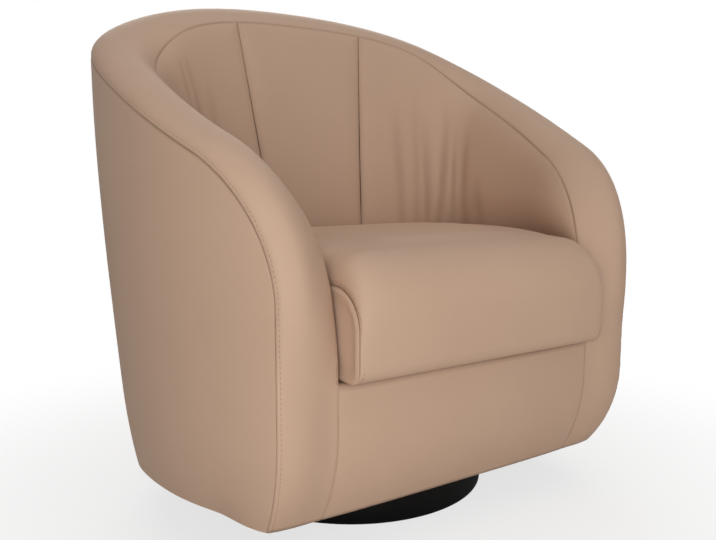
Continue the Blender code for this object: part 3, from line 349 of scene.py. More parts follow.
def sew_edges(grid, facing, edges):
    """Roll edges of a grid down into seams; each has an axis, which end, a strength and a breadth."""
    normals = grid_normals(grid, facing)
    drop = np.zeros(grid.shape[:2])
    shade = np.zeros(grid.shape[:2])
    for axis, from_end, strength, breadth in edges:
        distance = edge_distance(grid, axis, from_end) / breadth
        drop = np.maximum(drop, SEAM_DEPTH * breadth * strength * round_over(1.0 - distance / SEAM_WIDTH))
        shade = np.maximum(shade, strength * bell(distance, SEAM_SHADE))
    return grid - normals * drop[..., None], normals, shade


def face_out(mesh):
    """Turn the faces of a closed mesh outwards and shade it smooth."""
    bm = bmesh.new()
    bm.from_mesh(mesh)
    if bm.calc_volume(signed=True) < 0:
        bmesh.ops.reverse_faces(bm, faces=bm.faces)
    bm.to_mesh(mesh)
    bm.free()
    mesh.polygons.foreach_set("use_smooth", [True] * len(mesh.polygons))


def add_mesh(name, points, faces, material, shade=None):
    """A smooth mesh object at the origin with outward faces."""
    mesh = bpy.data.meshes.new(name)
    mesh.from_pydata([tuple(p) for p in points], [], faces)
    if shade is not None:
        # The seam attribute darkens the leather along seams and, as painted shade, in creases.
        layer = mesh.attributes.new("seam", "FLOAT", "POINT")
        layer.data.foreach_set("value", np.asarray(shade, dtype=np.float32).ravel())
    face_out(mesh)
    mesh.materials.append(material)
    piece = bpy.data.objects.new(name, mesh)
    scene.collection.objects.link(piece)
    return piece


def cover(name, grid, normals, shade, folded=False):
    """A closed leather sheet with its face on the grid; a folded grid closes its last row onto itself."""
    nu, nv = grid.shape[:2]
    points = np.concatenate([grid.reshape(-1, 3), (grid - normals * LEATHER).reshape(-1, 3)])
    index = np.arange(nu * nv).reshape(nu, nv)
    quads = np.stack([index[:-1, :-1], index[1:, :-1], index[1:, 1:], index[:-1, 1:]], axis=-1)
    quads = quads.reshape(-1, 4)
    if folded:
        last = index[:, -1]
        strip = [(last[k], last[k + 1], last[nu - 2 - k], last[nu - 1 - k]) for k in range(nu // 2 - 1)]
        quads = np.concatenate([quads, strip])
        border = np.concatenate([index[:, 0], index[-1, 1:], index[0, :0:-1]]).tolist()
    else:
        border = np.concatenate([index[:, 0], index[-1, 1:], index[-2::-1, -1], index[0, -2:0:-1]]).tolist()
    faces = [tuple(q) for q in quads.tolist()] + [tuple(q) for q in (quads[:, ::-1] + nu * nv).tolist()]
    for k in range(len(border)):
        faces.append((border[k], border[k - 1], border[k - 1] + nu * nv, border[k] + nu * nv))
    piece = add_mesh(name, points, faces, tan_leather, np.concatenate([shade.ravel()] * 2))
    print(name, len(piece.data.polygons), "faces")
    return piece


def place_piece(piece, body, slot, *nodes):
    """Ride a body and stand for the CAD nodes, which are hidden; the slot is not used."""
    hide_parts(*nodes)
    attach(piece, body)


def pad_leather(piece, fill, *nodes):
    """Put a padded leather piece on the seat; how full it is, fill, is not used."""
    place_piece(piece, "seat", "tan_leather", *nodes)


def line_at(grid, normals, distance, from_end=False):
    """The line over a grid at a distance from its first or last row across, with the normals there."""
    reach = edge_distance(grid, 1, from_end)
    points, outs = [], []
    for row, out, far in zip(grid, normals, reach):
        order = np.argsort(far)
        points.append([np.interp(distance, far[order], row[order, k]) for k in range(3)])
        outs.append([np.interp(distance, far[order], out[order, k]) for k in range(3)])
    return np.array(points), np.array(outs)


stitch_lines = []
print("leather", LEATHER, "thick, seams", SEAM_WIDTH, "wide and", SEAM_DEPTH, "deep")

# %% [markdown]
# One sweep of leather goes round the outside of the tub, from the seam at one arm front to the other.
# It is pulled tight over a thin board, so it is nearly plain, with small puckers under the rim seam.

# %% Rows and puckers
RUN_STEP = 0.009
ROLL_ROWS = 41
roll_turn = np.linspace(math.pi, math.pi / 2 + math.atan(RIM_SLOPE), ROLL_ROWS)
roll_y = ROLL_Y + ARM_RADIUS * np.cos(roll_turn)
ROLL_RUNS = LENGTH - np.interp(roll_y, seam_y[half], seam_run[half])
ROLL_RUNS[0] = LENGTH
slope_runs = np.linspace(ROLL_RUNS[-1], 0.0, int(ROLL_RUN / RUN_STEP))[1:]
HALF_RUNS = np.concatenate([ROLL_RUNS, slope_runs])
ALL_RUNS = np.concatenate([-HALF_RUNS, HALF_RUNS[-2::-1]])
# Each wave of the puckers: height, turns in radians per metre, start, and how much and how fast it wanders
PUCKER_WAVES = ((1.0, 391.0, 0.0, 2.1, 37.0), (0.7, 243.0, 1.3, 0.0, 0.0), (0.5, 611.0, 0.0, 3.0, 19.0))


def puckers(run, distance, depth, reach):
    """Small uneven pulls along a sewn edge, fading with the distance from it."""
    waves = sum(high * np.sin(run * rate + start + sway * np.sin(run * slow))
                for high, rate, start, sway, slow in PUCKER_WAVES)
    return depth * waves * bell(distance, reach)


print(len(ALL_RUNS), "rows round the tub")

# %% Outer leather
RIM_SEAM, FOOT_SEAM = 0.75, 0.3
OUTER_HEIGHT, OUTER_STEP = 0.6, 0.011
RIM_PUCKER, RIM_PUCKER_REACH = 0.16 * MM, 16 * MM
runs, shares = np.meshgrid(ALL_RUNS, spaced(OUTER_HEIGHT, OUTER_STEP), indexing="ij")
heights = WALL_BOTTOM + (rim_height(runs) - WALL_BOTTOM) * shares
outer_grid = wall(runs, outer_inset(runs, heights), heights)
outer_normals = grid_normals(outer_grid, -1)
from_rim = edge_distance(outer_grid, 1, True)
pulls = puckers(runs, from_rim, RIM_PUCKER, RIM_PUCKER_REACH)
outer_grid = outer_grid + outer_normals * pulls[..., None]
outer_grid, outer_normals, outer_shade = sew_edges(
    outer_grid, -1, [(1, True, RIM_SEAM, 1.0), (0, False, FOOT_SEAM, 1.0), (0, True, FOOT_SEAM, 1.0)])
outer_leather = cover("outer_leather", outer_grid, outer_normals, outer_shade)
place_piece(outer_leather, "seat", "tan_leather", "outer_cover")


# %% [markdown]
# The padded band starts at the foot of one arm front, climbs it, rolls over the arm, runs round the back
# and comes down the other arm. It could be a curve with a bevel, but its section changes on the way: a
# skewed round on the arm fronts, a fuller one on the back, and level with the front panel at the foot. So
# it is a grid too, made for the right side along the path of the rim seam and mirrored for the left.

# %% Path of the band
FOOT_ROWS = 45
FRONT_EDGE = FRONT_HALF_WIDTH - BAND_ARM
FRONT_BOW = 0.006


def front_face(z, x):
    """y of the front panel: bowed a little, and turned under at the bottom."""
    bow = FRONT_BOW * (1.0 - (x / FRONT_EDGE) ** 2) * (1.0 - tuck(z))
    return -FRONT_DEPTH - bow + front_tuck(x) * tuck(z) + TUB_SET_BACK


foot_z = WALL_BOTTOM + (ROLL_Z - WALL_BOTTOM) * np.linspace(0.0, 1.0, FOOT_ROWS)[:-1]
path_run = np.concatenate([np.full(foot_z.shape, LENGTH), HALF_RUNS])
path_z = np.concatenate([foot_z, rim_height(HALF_RUNS)])
path = wall(path_run, 0.0 * path_run, path_z)
_, _, nx, ny = plan(path_run)
inward = np.stack([nx, ny, 0.0 * nx], axis=-1)
along = np.gradient(path, axis=0)
along[-1] = (-1.0, 0.0, 0.0)
along /= np.linalg.norm(along, axis=-1, keepdims=True)
up = np.cross(along, inward)
width = band_width(path_run)
foot = len(foot_z)
panel_edge = np.stack([np.full(foot_z.shape, FRONT_EDGE), front_face(foot_z, FRONT_EDGE), foot_z], axis=-1)
to_panel = panel_edge - path[:foot]
width[:foot] = np.linalg.norm(to_panel, axis=-1)
inward[:foot] = to_panel / width[:foot, None]
up[:foot] = np.stack([-inward[:foot, 1], inward[:foot, 0], 0.0 * foot_z], axis=-1)
up /= np.linalg.norm(up, axis=-1, keepdims=True)
print("band path", len(path), "rows, of which", foot, "up the arm front")

# %% Crown of the band
CROWN_FRONT, CROWN_SIDE, CROWN_BACK, CROWN_SKEW = 0.020, 0.026, 0.034, 0.30
CROWN_FADE = 0.45
CROWN_FOOT = 0.4
FLUSH_TOP, FLUSH_FADE = 0.36, 0.09
lift = smoothstep((path_z - ROLL_Z) / (rim_height(np.array([ROLL_RUN]))[0] - ROLL_Z))
crown_top = CROWN_BACK + (CROWN_SIDE - CROWN_BACK) * smoothstep(path_run / CROWN_FADE)
crown = (CROWN_FRONT + (crown_top - CROWN_FRONT) * lift) * (1.0 - (1.0 - CROWN_FOOT) * tuck(path_z))
skew = CROWN_SKEW * (1.0 - lift)
flush = np.where(np.arange(len(path_z)) < foot, smoothstep((FLUSH_TOP - path_z) / FLUSH_FADE), 0.0)
print("crown", round(float(crown.min()), 4), "to", round(float(crown.max()), 4))

# %% Band section
SET_BACK, SET_BACK_LOW, SET_BACK_RISE = 0.022, 0.285, 0.150
SET_BACK_SHARE = 0.3
BAND_LIFT = 0.2 * MM
INNER_POWER = 2.2
LEVEL_SHARE, PEAK = 0.42, 0.36
BAND_SECTION, BAND_STEP = 0.125, 0.0042


def inner_set_back(run, z):
    """How far an arm front's inner edge stands behind its outer one: not at the foot, most at the arm."""
    near_front = 1.0 - smoothstep((plan(run)[1] + FRONT_DEPTH) / ARM_RADIUS)
    return SET_BACK * smoothstep((z - SET_BACK_LOW) / SET_BACK_RISE) * near_front


across_share = spaced(BAND_SECTION, BAND_STEP)
turn = math.pi * across_share[None, :]
across = width[:, None] / 2 * (1.0 - np.cos(turn))
share = across / width[:, None]
round_height = crown[:, None] * (1.0 - skew[:, None] * across_share) * np.sin(turn)
past_middle = np.clip(2.0 * share - 1.0, 0.0, 1.0)
top_height = crown[:, None] * np.where(share > 0.5, 1.0 - past_middle ** INNER_POWER, np.sin(turn))
past_peak = np.clip((share - PEAK) / (1.0 - PEAK), 0.0, 1.0)
rise = np.sqrt(np.maximum(0.0, 1.0 - (1.0 - share / PEAK) ** 2))
fall = 0.5 + 0.5 * np.cos(math.pi * past_peak)
level_height = LEVEL_SHARE * crown[:, None] * np.where(past_peak > 0, fall, rise)
height = round_height * (1.0 - lift[:, None]) + top_height * lift[:, None]
height = BAND_LIFT + height * (1.0 - flush[:, None]) + level_height * flush[:, None]
right_band = path[:, None, :] + inward[:, None, :] * across[..., None] + up[:, None, :] * height[..., None]
toward_inside = smoothstep((share - SET_BACK_SHARE) / (1.0 - SET_BACK_SHARE))
right_band[..., 1] += inner_set_back(path_run, path_z)[:, None] * toward_inside
left_band = right_band * np.array([-1.0, 1.0, 1.0])
band_grid = np.concatenate([left_band, right_band[-2::-1]])
print("band grid", band_grid.shape[:2])

# %% Rim leather
TOPSTITCH = 6.5 * MM
STITCH_DENT, STITCH_DENT_WIDTH = 0.5 * MM, 1.8 * MM
BAND_PUCKER, BAND_PUCKER_AT, BAND_PUCKER_REACH = 0.12 * MM, 5 * MM, 10 * MM


def stitch_dent(distance):
    """How far the topstitching pulls the leather in at a distance from the seam."""
    return STITCH_DENT * bell(distance - TOPSTITCH, STITCH_DENT_WIDTH)


band_normals = grid_normals(band_grid, -1)
from_outer = edge_distance(band_grid, 1, False)
band_run = edge_distance(band_grid, 0, False)[:, [len(EDGE_ROWS) - 1]]
pulls = puckers(band_run, from_outer - BAND_PUCKER_AT, BAND_PUCKER, BAND_PUCKER_REACH)
band_grid = band_grid + band_normals * (pulls - stitch_dent(from_outer))[..., None]
seam_strength = FOOT_SEAM + (RIM_SEAM - FOOT_SEAM) * np.concatenate([lift, lift[-2::-1]])[:, None]
band_grid, band_normals, band_shade = sew_edges(
    band_grid, -1, [(1, False, seam_strength, 1.0), (1, True, seam_strength, 1.0)])
rim_leather = cover("rim_leather", band_grid, band_normals, band_shade)
pad_leather(rim_leather, 0.9, "rim_band", "rim_foam")
stitch_lines.append(line_at(band_grid, band_normals, TOPSTITCH))

# %% [markdown]
# The inside is three panels. Leather can't bend two ways at once, so the side panels bunch into soft upright
# gathers where the back turns into the arms. Each gather is a shallow valley with its own place, depth and
# slant, listed one by one, because chance alone would not put them where the leather is pulled.

# %% Gathers
GATHER_START, GATHER_IN = 0.25, 0.35
GATHER_FADE, GATHER_OUT = 0.45, 0.55
# Run from the middle of the back at the low and the high end, the two heights, half width and depth in mm
RIGHT_GATHERS = ((0.280, 0.255, 0.44, 0.70, 20, 2.4), (0.345, 0.330, 0.44, 0.72, 16, 1.8),
                 (0.402, 0.366, 0.44, 0.68, 18, 2.8), (0.459, 0.456, 0.43, 0.70, 16, 3.4),
                 (0.512, 0.500, 0.43, 0.64, 15, 2.6), (0.560, 0.552, 0.43, 0.66, 18, 3.0),
                 (0.612, 0.600, 0.43, 0.55, 16, 2.4))
LEFT_GATHERS = ((0.268, 0.285, 0.44, 0.74, 16, 2.4), (0.350, 0.322, 0.44, 0.76, 15, 2.2),
                (0.336, 0.362, 0.64, 0.75, 11, 1.9), (0.366, 0.392, 0.64, 0.74, 11, 1.9),
                (0.440, 0.452, 0.43, 0.66, 16, 3.2), (0.532, 0.540, 0.43, 0.64, 16, 3.0),
                (0.590, 0.598, 0.43, 0.54, 15, 2.4))


def gathers(run, z, side):
    """Depth of the gathers on a side panel: a valley between its two heights, fading at the top."""
    total = np.zeros(run.shape)
    for low_run, top_run, low, high, half_width, deep in RIGHT_GATHERS if side > 0 else LEFT_GATHERS:
        up = (z - low) / (high - low)
        at = low_run + (top_run - low_run) * np.clip(up, 0.0, 1.0)
        grown = smoothstep((up + GATHER_START) / GATHER_IN)
        fade = grown * (1.0 - smoothstep((up - GATHER_FADE) / GATHER_OUT))
        total = total + deep * MM * bell(np.abs(run) - at, half_width * MM) * fade
    return total


print("gathers", len(LEFT_GATHERS), "left and", len(RIGHT_GATHERS), "right")

# %% One inside panel
SEAM_TOP, SEAM_LOW, SLANT_START = 0.158, 0.122, 0.26
PANEL_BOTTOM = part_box("inside_left_cover")[0][2]
PANEL_TOP_EASE = -0.3 * MM
PANEL_HEIGHT, PANEL_STEP = 0.5, 0.008
PANEL_PUFF, PUFF_REACH, PUFF_POWER, ARM_THIN = 5.0 * MM, 0.038, 2.2, 0.5
ARM_PUFF, ARM_ROUND, ARM_POWER = 27.0 * MM, 0.16, 3
CORNER_RUN, CORNER_REACH, CORNER_FILL = 0.53, 0.13, 9.0 * MM
PUFF_BELOW, PUFF_RISE = 0.03, 0.12
GATHER_CLEAR, GATHER_PAINTED_SHADE = 0.02, 0.20
BACK_SEAM, BACK_SEAM_BREADTH, BACK_SEAM_FADE = 0.5, 2.4, 0.25


def fullness(distance, reach, power):
    """How full the padding is at a distance from its sewn edge."""
    return 1.0 - np.clip(1.0 - distance / reach, 0.0, 1.0) ** power


def inside_cover(name, runs_low, runs_top, side):
    """One inside panel between two runs that may slant from the rim to the seat."""
    rows = spaced(PANEL_HEIGHT, PANEL_STEP)
    share = np.broadcast_to(rows[None, :], (len(runs_low), len(rows)))
    lean = np.clip((share - SLANT_START) / (1.0 - SLANT_START), 0.0, 1.0)
    run = runs_low[:, None] + (runs_top - runs_low)[:, None] * lean
    z = PANEL_BOTTOM + (rim_height(run) - PANEL_TOP_EASE - PANEL_BOTTOM) * share
    grid = wall(run, inside_depth(run, z), z)
    grid[..., 1] += inner_set_back(run, z)
    normals = grid_normals(grid, 1)
    from_sides = np.minimum(edge_distance(grid, 0, False), edge_distance(grid, 0, True))
    from_edge = np.minimum(from_sides, edge_distance(grid, 1, True))
    above_cushion = smoothstep((z - CUSHION_SEAM + PUFF_BELOW) / PUFF_RISE)
    corner = CORNER_FILL * bell(np.abs(run) - CORNER_RUN, CORNER_REACH)
    arm = 1.0 - backness(run)
    puff = PANEL_PUFF * (1.0 - ARM_THIN * arm) * fullness(from_edge, PUFF_REACH, PUFF_POWER)
    puff = puff + (ARM_PUFF * arm + corner) * fullness(from_edge, ARM_ROUND, ARM_POWER)
    creases = gathers(run, z, side) * smoothstep(from_sides / GATHER_CLEAR) if side else 0.0 * z
    creases = creases * (0.5 + 0.5 * above_cushion)
    grid = grid + normals * (puff * above_cushion - creases)[..., None]
    sewn = BACK_SEAM * (0.5 + 0.5 * smoothstep((RIM_HEIGHT - z) / BACK_SEAM_FADE))
    grid, normals, shade = sew_edges(grid, 1, [
        (1, True, RIM_SEAM, 1.0), (0, False, sewn, BACK_SEAM_BREADTH), (0, True, sewn, BACK_SEAM_BREADTH)])
    # Painted shade: the leather is darkened in the valleys of the gathers, the more the deeper they are.
    shade = np.maximum(shade, GATHER_PAINTED_SHADE * creases / MM)
    return cover(name, grid, normals, shade)


# %% The three inside panels
SIDE_STEP, SIDE_SKIP = 0.0065, 0.02
centre_share = 2.0 * spaced(2 * SEAM_LOW, PANEL_STEP) - 1.0
inside_centre = inside_cover("inside_centre_leather", SEAM_LOW * centre_share, SEAM_TOP * centre_share, 0)
pad_leather(inside_centre, 0.7, "inside_centre_cover", "inside_centre_foam")
front_runs = ROLL_RUNS[ROLL_RUNS > ROLL_RUN - 1e-6]
back_share = spaced(ROLL_RUN - SEAM_LOW, SIDE_STEP)[1:]
back_share = back_share[back_share > SIDE_SKIP]
side_low = np.concatenate([front_runs, ROLL_RUN + (SEAM_LOW - ROLL_RUN) * back_share])
side_top = np.concatenate([front_runs, ROLL_RUN + (SEAM_TOP - ROLL_RUN) * back_share])
for label, side in (("left", -1.0), ("right", 1.0)):
    low, top = (side_low[::-1], side_top[::-1]) if side > 0 else (-side_low, -side_top)
    piece = inside_cover("inside_" + label + "_leather", low, top, side)
    pad_leather(piece, 0.65, "inside_" + label + "_cover", "inside_" + label + "_foam")

# %% [markdown]
# The front rail has one leather panel, sewn to the arm fronts at both sides and turned under at the bottom.
# Its top edge rolls back under the cushion, and painted shade darkens its top towards the crease there.

# %% Front panel
FRONT_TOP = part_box("front_cover")[1][2] + 2.5 * MM
FRONT_GAP = 0.3 * MM
FRONT_STEP, FRONT_ROWS = 0.010, 34
FRONT_ROLL, FRONT_ROLL_ROWS = 6 * MM, 9
FRONT_RETURN = 25 * MM * np.array([0.3, 0.7, 1.0])
PAINTED_SHADE_FALL = 11 * MM
spots = (2.0 * spaced(2 * FRONT_EDGE, FRONT_STEP) - 1.0) * (FRONT_EDGE - FRONT_GAP)
rise = WALL_BOTTOM + (FRONT_TOP - FRONT_ROLL - WALL_BOTTOM) * np.linspace(0.0, 1.0, FRONT_ROWS)
over = np.linspace(0.0, math.pi / 2, FRONT_ROLL_ROWS)[1:]
levels = np.concatenate([rise, FRONT_TOP - FRONT_ROLL + FRONT_ROLL * np.sin(over),
                         FRONT_TOP + 0.0 * FRONT_RETURN])
set_back = np.concatenate([0.0 * rise, FRONT_ROLL - FRONT_ROLL * np.cos(over), FRONT_ROLL + FRONT_RETURN])
front_x, front_z = np.meshgrid(spots, levels, indexing="ij")
front_grid = np.stack([front_x, front_face(front_z, front_x) + set_back, front_z], axis=-1)
front_grid, front_normals, front_shade = sew_edges(
    front_grid, 1, [(0, False, FOOT_SEAM, 1.0), (0, True, FOOT_SEAM, 1.0)])
# Painted shade: the panel darkens towards its top edge, in the crease under the cushion.
painted_crease_shade = smoothstep((front_grid[..., 2] - FRONT_TOP + PAINTED_SHADE_FALL) / PAINTED_SHADE_FALL)
front_shade = np.maximum(front_shade, painted_crease_shade)
front_leather = cover("front_leather", front_grid, front_normals, front_shade)
pad_leather(front_leather, 0.85, "front_cover")

# %% [markdown]
# The seat cushion is a foam block in a leather cover: a wrap over bottom, nose and top, and boxing at the
# sides. A slightly slack block is blown up as cloth with its sewn edges held, and the result tells how far
# each point of the cover swells. That keeps the seams crisp, which a remeshed block alone would lose.

# %% Form of the cushion
CUSHION_OVERHANG, CUSHION_EASE, SEWN_DROP = 0.036, 0.008, 0.016
CUSHION_CROWN, CROWN_FULLNESS, CROWN_POWER = 0.050, 16.0, 0.7
CROWN_FROM, CROWN_SPAN = 0.26, 0.48
CUSHION_NOSE, NOSE_SHARE, NOSE_TOP, NOSE_LOW = 0.010, 0.8, 0.055, 0.019
CUSHION_FRONT = FRONT_DEPTH + CUSHION_OVERHANG
SEWN_TOP = CUSHION_SEAM - SEWN_DROP
INNER_SAMPLES = 160
inner_runs = np.linspace(LENGTH, SEAM_LOW, INNER_SAMPLES)
inner_line, inner_low = (wall(inner_runs, inside_depth(inner_runs, z), z)
                         for z in (CUSHION_SEAM + 0.0 * inner_runs, CUSHION_BOTTOM + 0.0 * inner_runs))
CUSHION_BACK = inner_low[-1, 1] - TUB_SET_BACK - CUSHION_EASE


def cushion_half_width(y):
    """Half of the width between the inside panels that the cushion may take."""
    ys, xs = inner_line[:, 1] - TUB_SET_BACK, inner_line[:, 0]
    return np.minimum(np.interp(y, ys, xs), np.interp(y - NOSE_TOP, ys, xs)) - CUSHION_EASE


def cushion_section(count):
    """y and z of the side section: from the back along the bottom, round the nose, and back along the top."""
    front = -CUSHION_FRONT
    low_turn = np.linspace(-math.pi / 2, 0.0, count // 2)
    top_turn = np.linspace(0.0, math.pi / 2, count // 2)
    y = np.concatenate([np.linspace(CUSHION_BACK, front + NOSE_LOW, count)[:-1],
                        front + NOSE_LOW - NOSE_LOW * np.cos(low_turn),
                        front + NOSE_TOP - NOSE_TOP * np.cos(top_turn),
                        np.linspace(front + NOSE_TOP, CUSHION_BACK, count)[1:]])
    z = np.concatenate([np.full(count - 1, CUSHION_BOTTOM),
                        CUSHION_BOTTOM + NOSE_LOW + NOSE_LOW * np.sin(low_turn),
                        SEWN_TOP - NOSE_TOP + NOSE_TOP * np.sin(top_turn),
                        np.full(count - 1, SEWN_TOP)])
    return y, z


def cushion_point(across, y, z, fullness=1.0):
    """Place section points across the cushion, with the crown and the nose."""
    share = np.clip((CUSHION_BACK - y) / (CUSHION_BACK + CUSHION_FRONT), 0.0, 1.0)
    fall = np.sqrt(1.0 - np.abs(across) ** CROWN_FULLNESS)
    rise = np.clip((z - CUSHION_BOTTOM) / (SEWN_TOP - CUSHION_BOTTOM), 0.0, 1.0)
    swell = np.sin(math.pi * (CROWN_FROM + CROWN_SPAN * share)) ** CROWN_POWER
    nose = smoothstep((share - NOSE_SHARE) / (1.0 - NOSE_SHARE)) * np.sin(math.pi * rise)
    x = across * cushion_half_width(y)
    return np.stack([x, y - CUSHION_NOSE * nose * fall + TUB_SET_BACK,
                     z + fullness * CUSHION_CROWN * smoothstep(rise) * fall * swell], axis=-1)


print("cushion from", round(CUSHION_BACK, 4), "to", round(-CUSHION_FRONT, 4))

# %% Cushion block for the simulation
SLACK_CROWN = 0.75
BLOCK_ROWS, BLOCK_ACROSS = 26, 41
section_y, section_z = cushion_section(BLOCK_ROWS)
block_across = np.linspace(-1.0, 1.0, BLOCK_ACROSS)
block_y, block_k = np.meshgrid(section_y, block_across)
block_z, _ = np.meshgrid(section_z, block_across)
block = cushion_point(block_k, block_y, block_z, SLACK_CROWN)
ring = block.shape[1]
faces = []
for k in range(block.shape[0] - 1):
    for q in range(ring):
        a, b = k * ring + q, k * ring + (q + 1) % ring
        faces.append((a, b, b + ring, a + ring))
faces.append(tuple(range(ring)))
faces.append(tuple((block.shape[0] - 1) * ring + q for q in range(ring))[::-1])
cushion_block = add_mesh("cushion_block", block.reshape(-1, 3), faces, tan_leather)
print("slack block", len(faces), "faces")

# %% Blow the block up
VOXEL = 6 * MM
HELD_REACH = 2.2 * VOXEL
PRESSURE, STRETCH_STIFFNESS, BEND_STIFFNESS = 4.0, 25.0, 6.0
SWELL_CAP = 24 * MM
SWELL_FRAMES = 20


def apply_modifiers(piece):
    """Replace a piece's mesh by its evaluated one."""
    view = bpy.context.evaluated_depsgraph_get()
    mesh = bpy.data.meshes.new_from_object(piece.evaluated_get(view))
    piece.modifiers.clear()
    piece.data = mesh


def mesh_points(mesh):
    """Vertex places as an array."""
    flat = np.empty(len(mesh.vertices) * 3, dtype=np.float32)
    mesh.vertices.foreach_get("co", flat)
    return flat.reshape(-1, 3).astype(float)


remesh = cushion_block.modifiers.new("even", "REMESH")
remesh.mode, remesh.voxel_size = "VOXEL", VOXEL
apply_modifiers(cushion_block)
slack = mesh_points(cushion_block.data)
edge_points = np.concatenate([block[0], block[-1]])
gap = np.array([np.min(np.sum((edge_points - p) ** 2, axis=1)) for p in slack]) ** 0.5
held = cushion_block.vertex_groups.new(name="held")
for k in np.flatnonzero((gap < HELD_REACH) | (slack[:, 2] < CUSHION_BOTTOM + VOXEL)):
    held.add([int(k)], 1.0, "REPLACE")
cloth = cushion_block.modifiers.new("swell", "CLOTH")
cloth.settings.use_pressure = True
cloth.settings.uniform_pressure_force = PRESSURE
cloth.settings.effector_weights.gravity = 0.0
cloth.settings.vertex_group_mass = held.name
cloth.settings.tension_stiffness = cloth.settings.compression_stiffness = STRETCH_STIFFNESS
cloth.settings.bending_stiffness = BEND_STIFFNESS
cloth.point_cache.frame_start, cloth.point_cache.frame_end = 1, SWELL_FRAMES
for number in range(1, SWELL_FRAMES + 1):
    scene.frame_set(number)
apply_modifiers(cushion_block)
blown = mesh_points(cushion_block.data)
step = blown - slack
size = np.linalg.norm(step, axis=1, keepdims=True)
blown = slack + step * np.minimum(1.0, SWELL_CAP / np.maximum(size, 1e-9))
cushion_block.data.vertices.foreach_set("co", blown.astype(np.float32).ravel())
print("cushion swells", round(float(size.max()) / MM, 1), "mm at most")
blown_tree = BVHTree.FromPolygons([Vector(p) for p in mesh_points(cushion_block.data)],
                                  [tuple(p.vertices) for p in cushion_block.data.polygons])
print("block", len(cushion_block.data.polygons), "faces")

# %% Wrap of the cushion
SWELL_SHARE, SWELL_MOST, SWELL_SMOOTHING = 0.6, 6 * MM, 6
WRAP_ROWS, WRAP_WIDTH, WRAP_STEP, WRAP_FACING = 64, 0.6, 0.010, 1
CUSHION_STITCH = 0.3
SIDE_FADE = 0.06
PAINTED_SHADE_RISE = 5 * MM


def swollen(grid, normals):
    """How far outside a cushion grid the blown block stands, as heights on its normals."""
    heights = np.zeros(grid.shape[:2])
    for u in range(grid.shape[0]):
        for v in range(grid.shape[1]):
            at = Vector(grid[u, v])
            hit = blown_tree.find_nearest(at)[0]
            heights[u, v] = (hit - at).dot(Vector(normals[u, v]))
    for _ in range(SWELL_SMOOTHING):
        padded = np.pad(heights, 1, mode="edge")
        heights = (padded[:-2, 1:-1] + padded[2:, 1:-1] + padded[1:-1, :-2] + padded[1:-1, 2:]) / 4
    return np.clip(heights * SWELL_SHARE, 0.0, SWELL_MOST)


wrap_y, wrap_z = cushion_section(WRAP_ROWS)
wrap_across = 2.0 * spaced(WRAP_WIDTH, WRAP_STEP) - 1.0
wrap_k, grid_y = np.meshgrid(wrap_across, wrap_y, indexing="ij")
_, grid_z = np.meshgrid(wrap_across, wrap_z, indexing="ij")
wrap_grid = cushion_point(wrap_k, grid_y, grid_z)
wrap_normals = grid_normals(wrap_grid, WRAP_FACING)
wrap_swell = swollen(wrap_grid, wrap_normals)
print("wrap swells", round(float(wrap_swell.max()) / MM, 2), "mm at most")
from_side = np.minimum(edge_distance(wrap_grid, 0, False), edge_distance(wrap_grid, 0, True))
wrap_swell = wrap_swell * smoothstep(from_side / SIDE_FADE) - stitch_dent(from_side)
wrap_grid = wrap_grid + wrap_normals * wrap_swell[..., None]
wrap_grid, wrap_normals, wrap_shade = sew_edges(
    wrap_grid, WRAP_FACING, [(0, False, CUSHION_STITCH, 1.0), (0, True, CUSHION_STITCH, 1.0)])
# Painted shade: the wrap darkens towards the bottom of the cushion, on its underside and the foot of the
# nose.
wrap_shade = np.maximum(wrap_shade, 1.0 - smoothstep((wrap_grid[..., 2] - CUSHION_BOTTOM) / PAINTED_SHADE_RISE))
cushion_wrap = cover("cushion_leather", wrap_grid, wrap_normals, wrap_shade)
pad_leather(cushion_wrap, 0.8, "cushion_wrap", "cushion_foam")
for from_end in (False, True):
    stitch_lines.append(line_at(wrap_grid.swapaxes(0, 1), wrap_normals.swapaxes(0, 1), TOPSTITCH, from_end))

# %% Boxing
BOXING_SWELL = 4.0 * MM
RIDGE, RIDGE_AT = 2.2 * MM, 5.0 * MM
BOXING_SPINE = (SEWN_TOP - CUSHION_BOTTOM) / 2
BOXING_ROWS, BOXING_END = 7, 0.96
ring_share = np.concatenate([EDGE_ROWS[:-1] / BOXING_SPINE,
                             np.linspace(EDGE_ROWS[-1] / BOXING_SPINE, BOXING_END, BOXING_ROWS)])
belly = (BOXING_SWELL * np.sin(math.pi / 2 * ring_share)
         + RIDGE * bell(ring_share * BOXING_SPINE - RIDGE_AT, RIDGE_AT))
for label, side in (("left", -1.0), ("right", 1.0)):
    sides = np.full(wrap_y.shape, side)
    outline = cushion_point(sides, wrap_y, wrap_z)
    spine = cushion_point(sides, np.clip(wrap_y, BOXING_SPINE - CUSHION_FRONT, CUSHION_BACK),
                          np.full(wrap_y.shape, CUSHION_BOTTOM + BOXING_SPINE))
    boxing = outline[:, None] + (spine - outline)[:, None] * ring_share[None, :, None]
    facing = -int(side)
    boxing_normals = grid_normals(boxing, facing)
    boxing, boxing_normals, boxing_shade = sew_edges(
        boxing + boxing_normals * belly[None, :, None], facing, [(1, False, CUSHION_STITCH, 1.0)])
    print(label, "boxing faces out", bool(np.mean(boxing_normals[..., 0]) * side > 0))
    piece = cover(label + "_boxing_leather", boxing, boxing_normals, boxing_shade, folded=True)
    pad_leather(piece, 0.8, label + "_boxing")

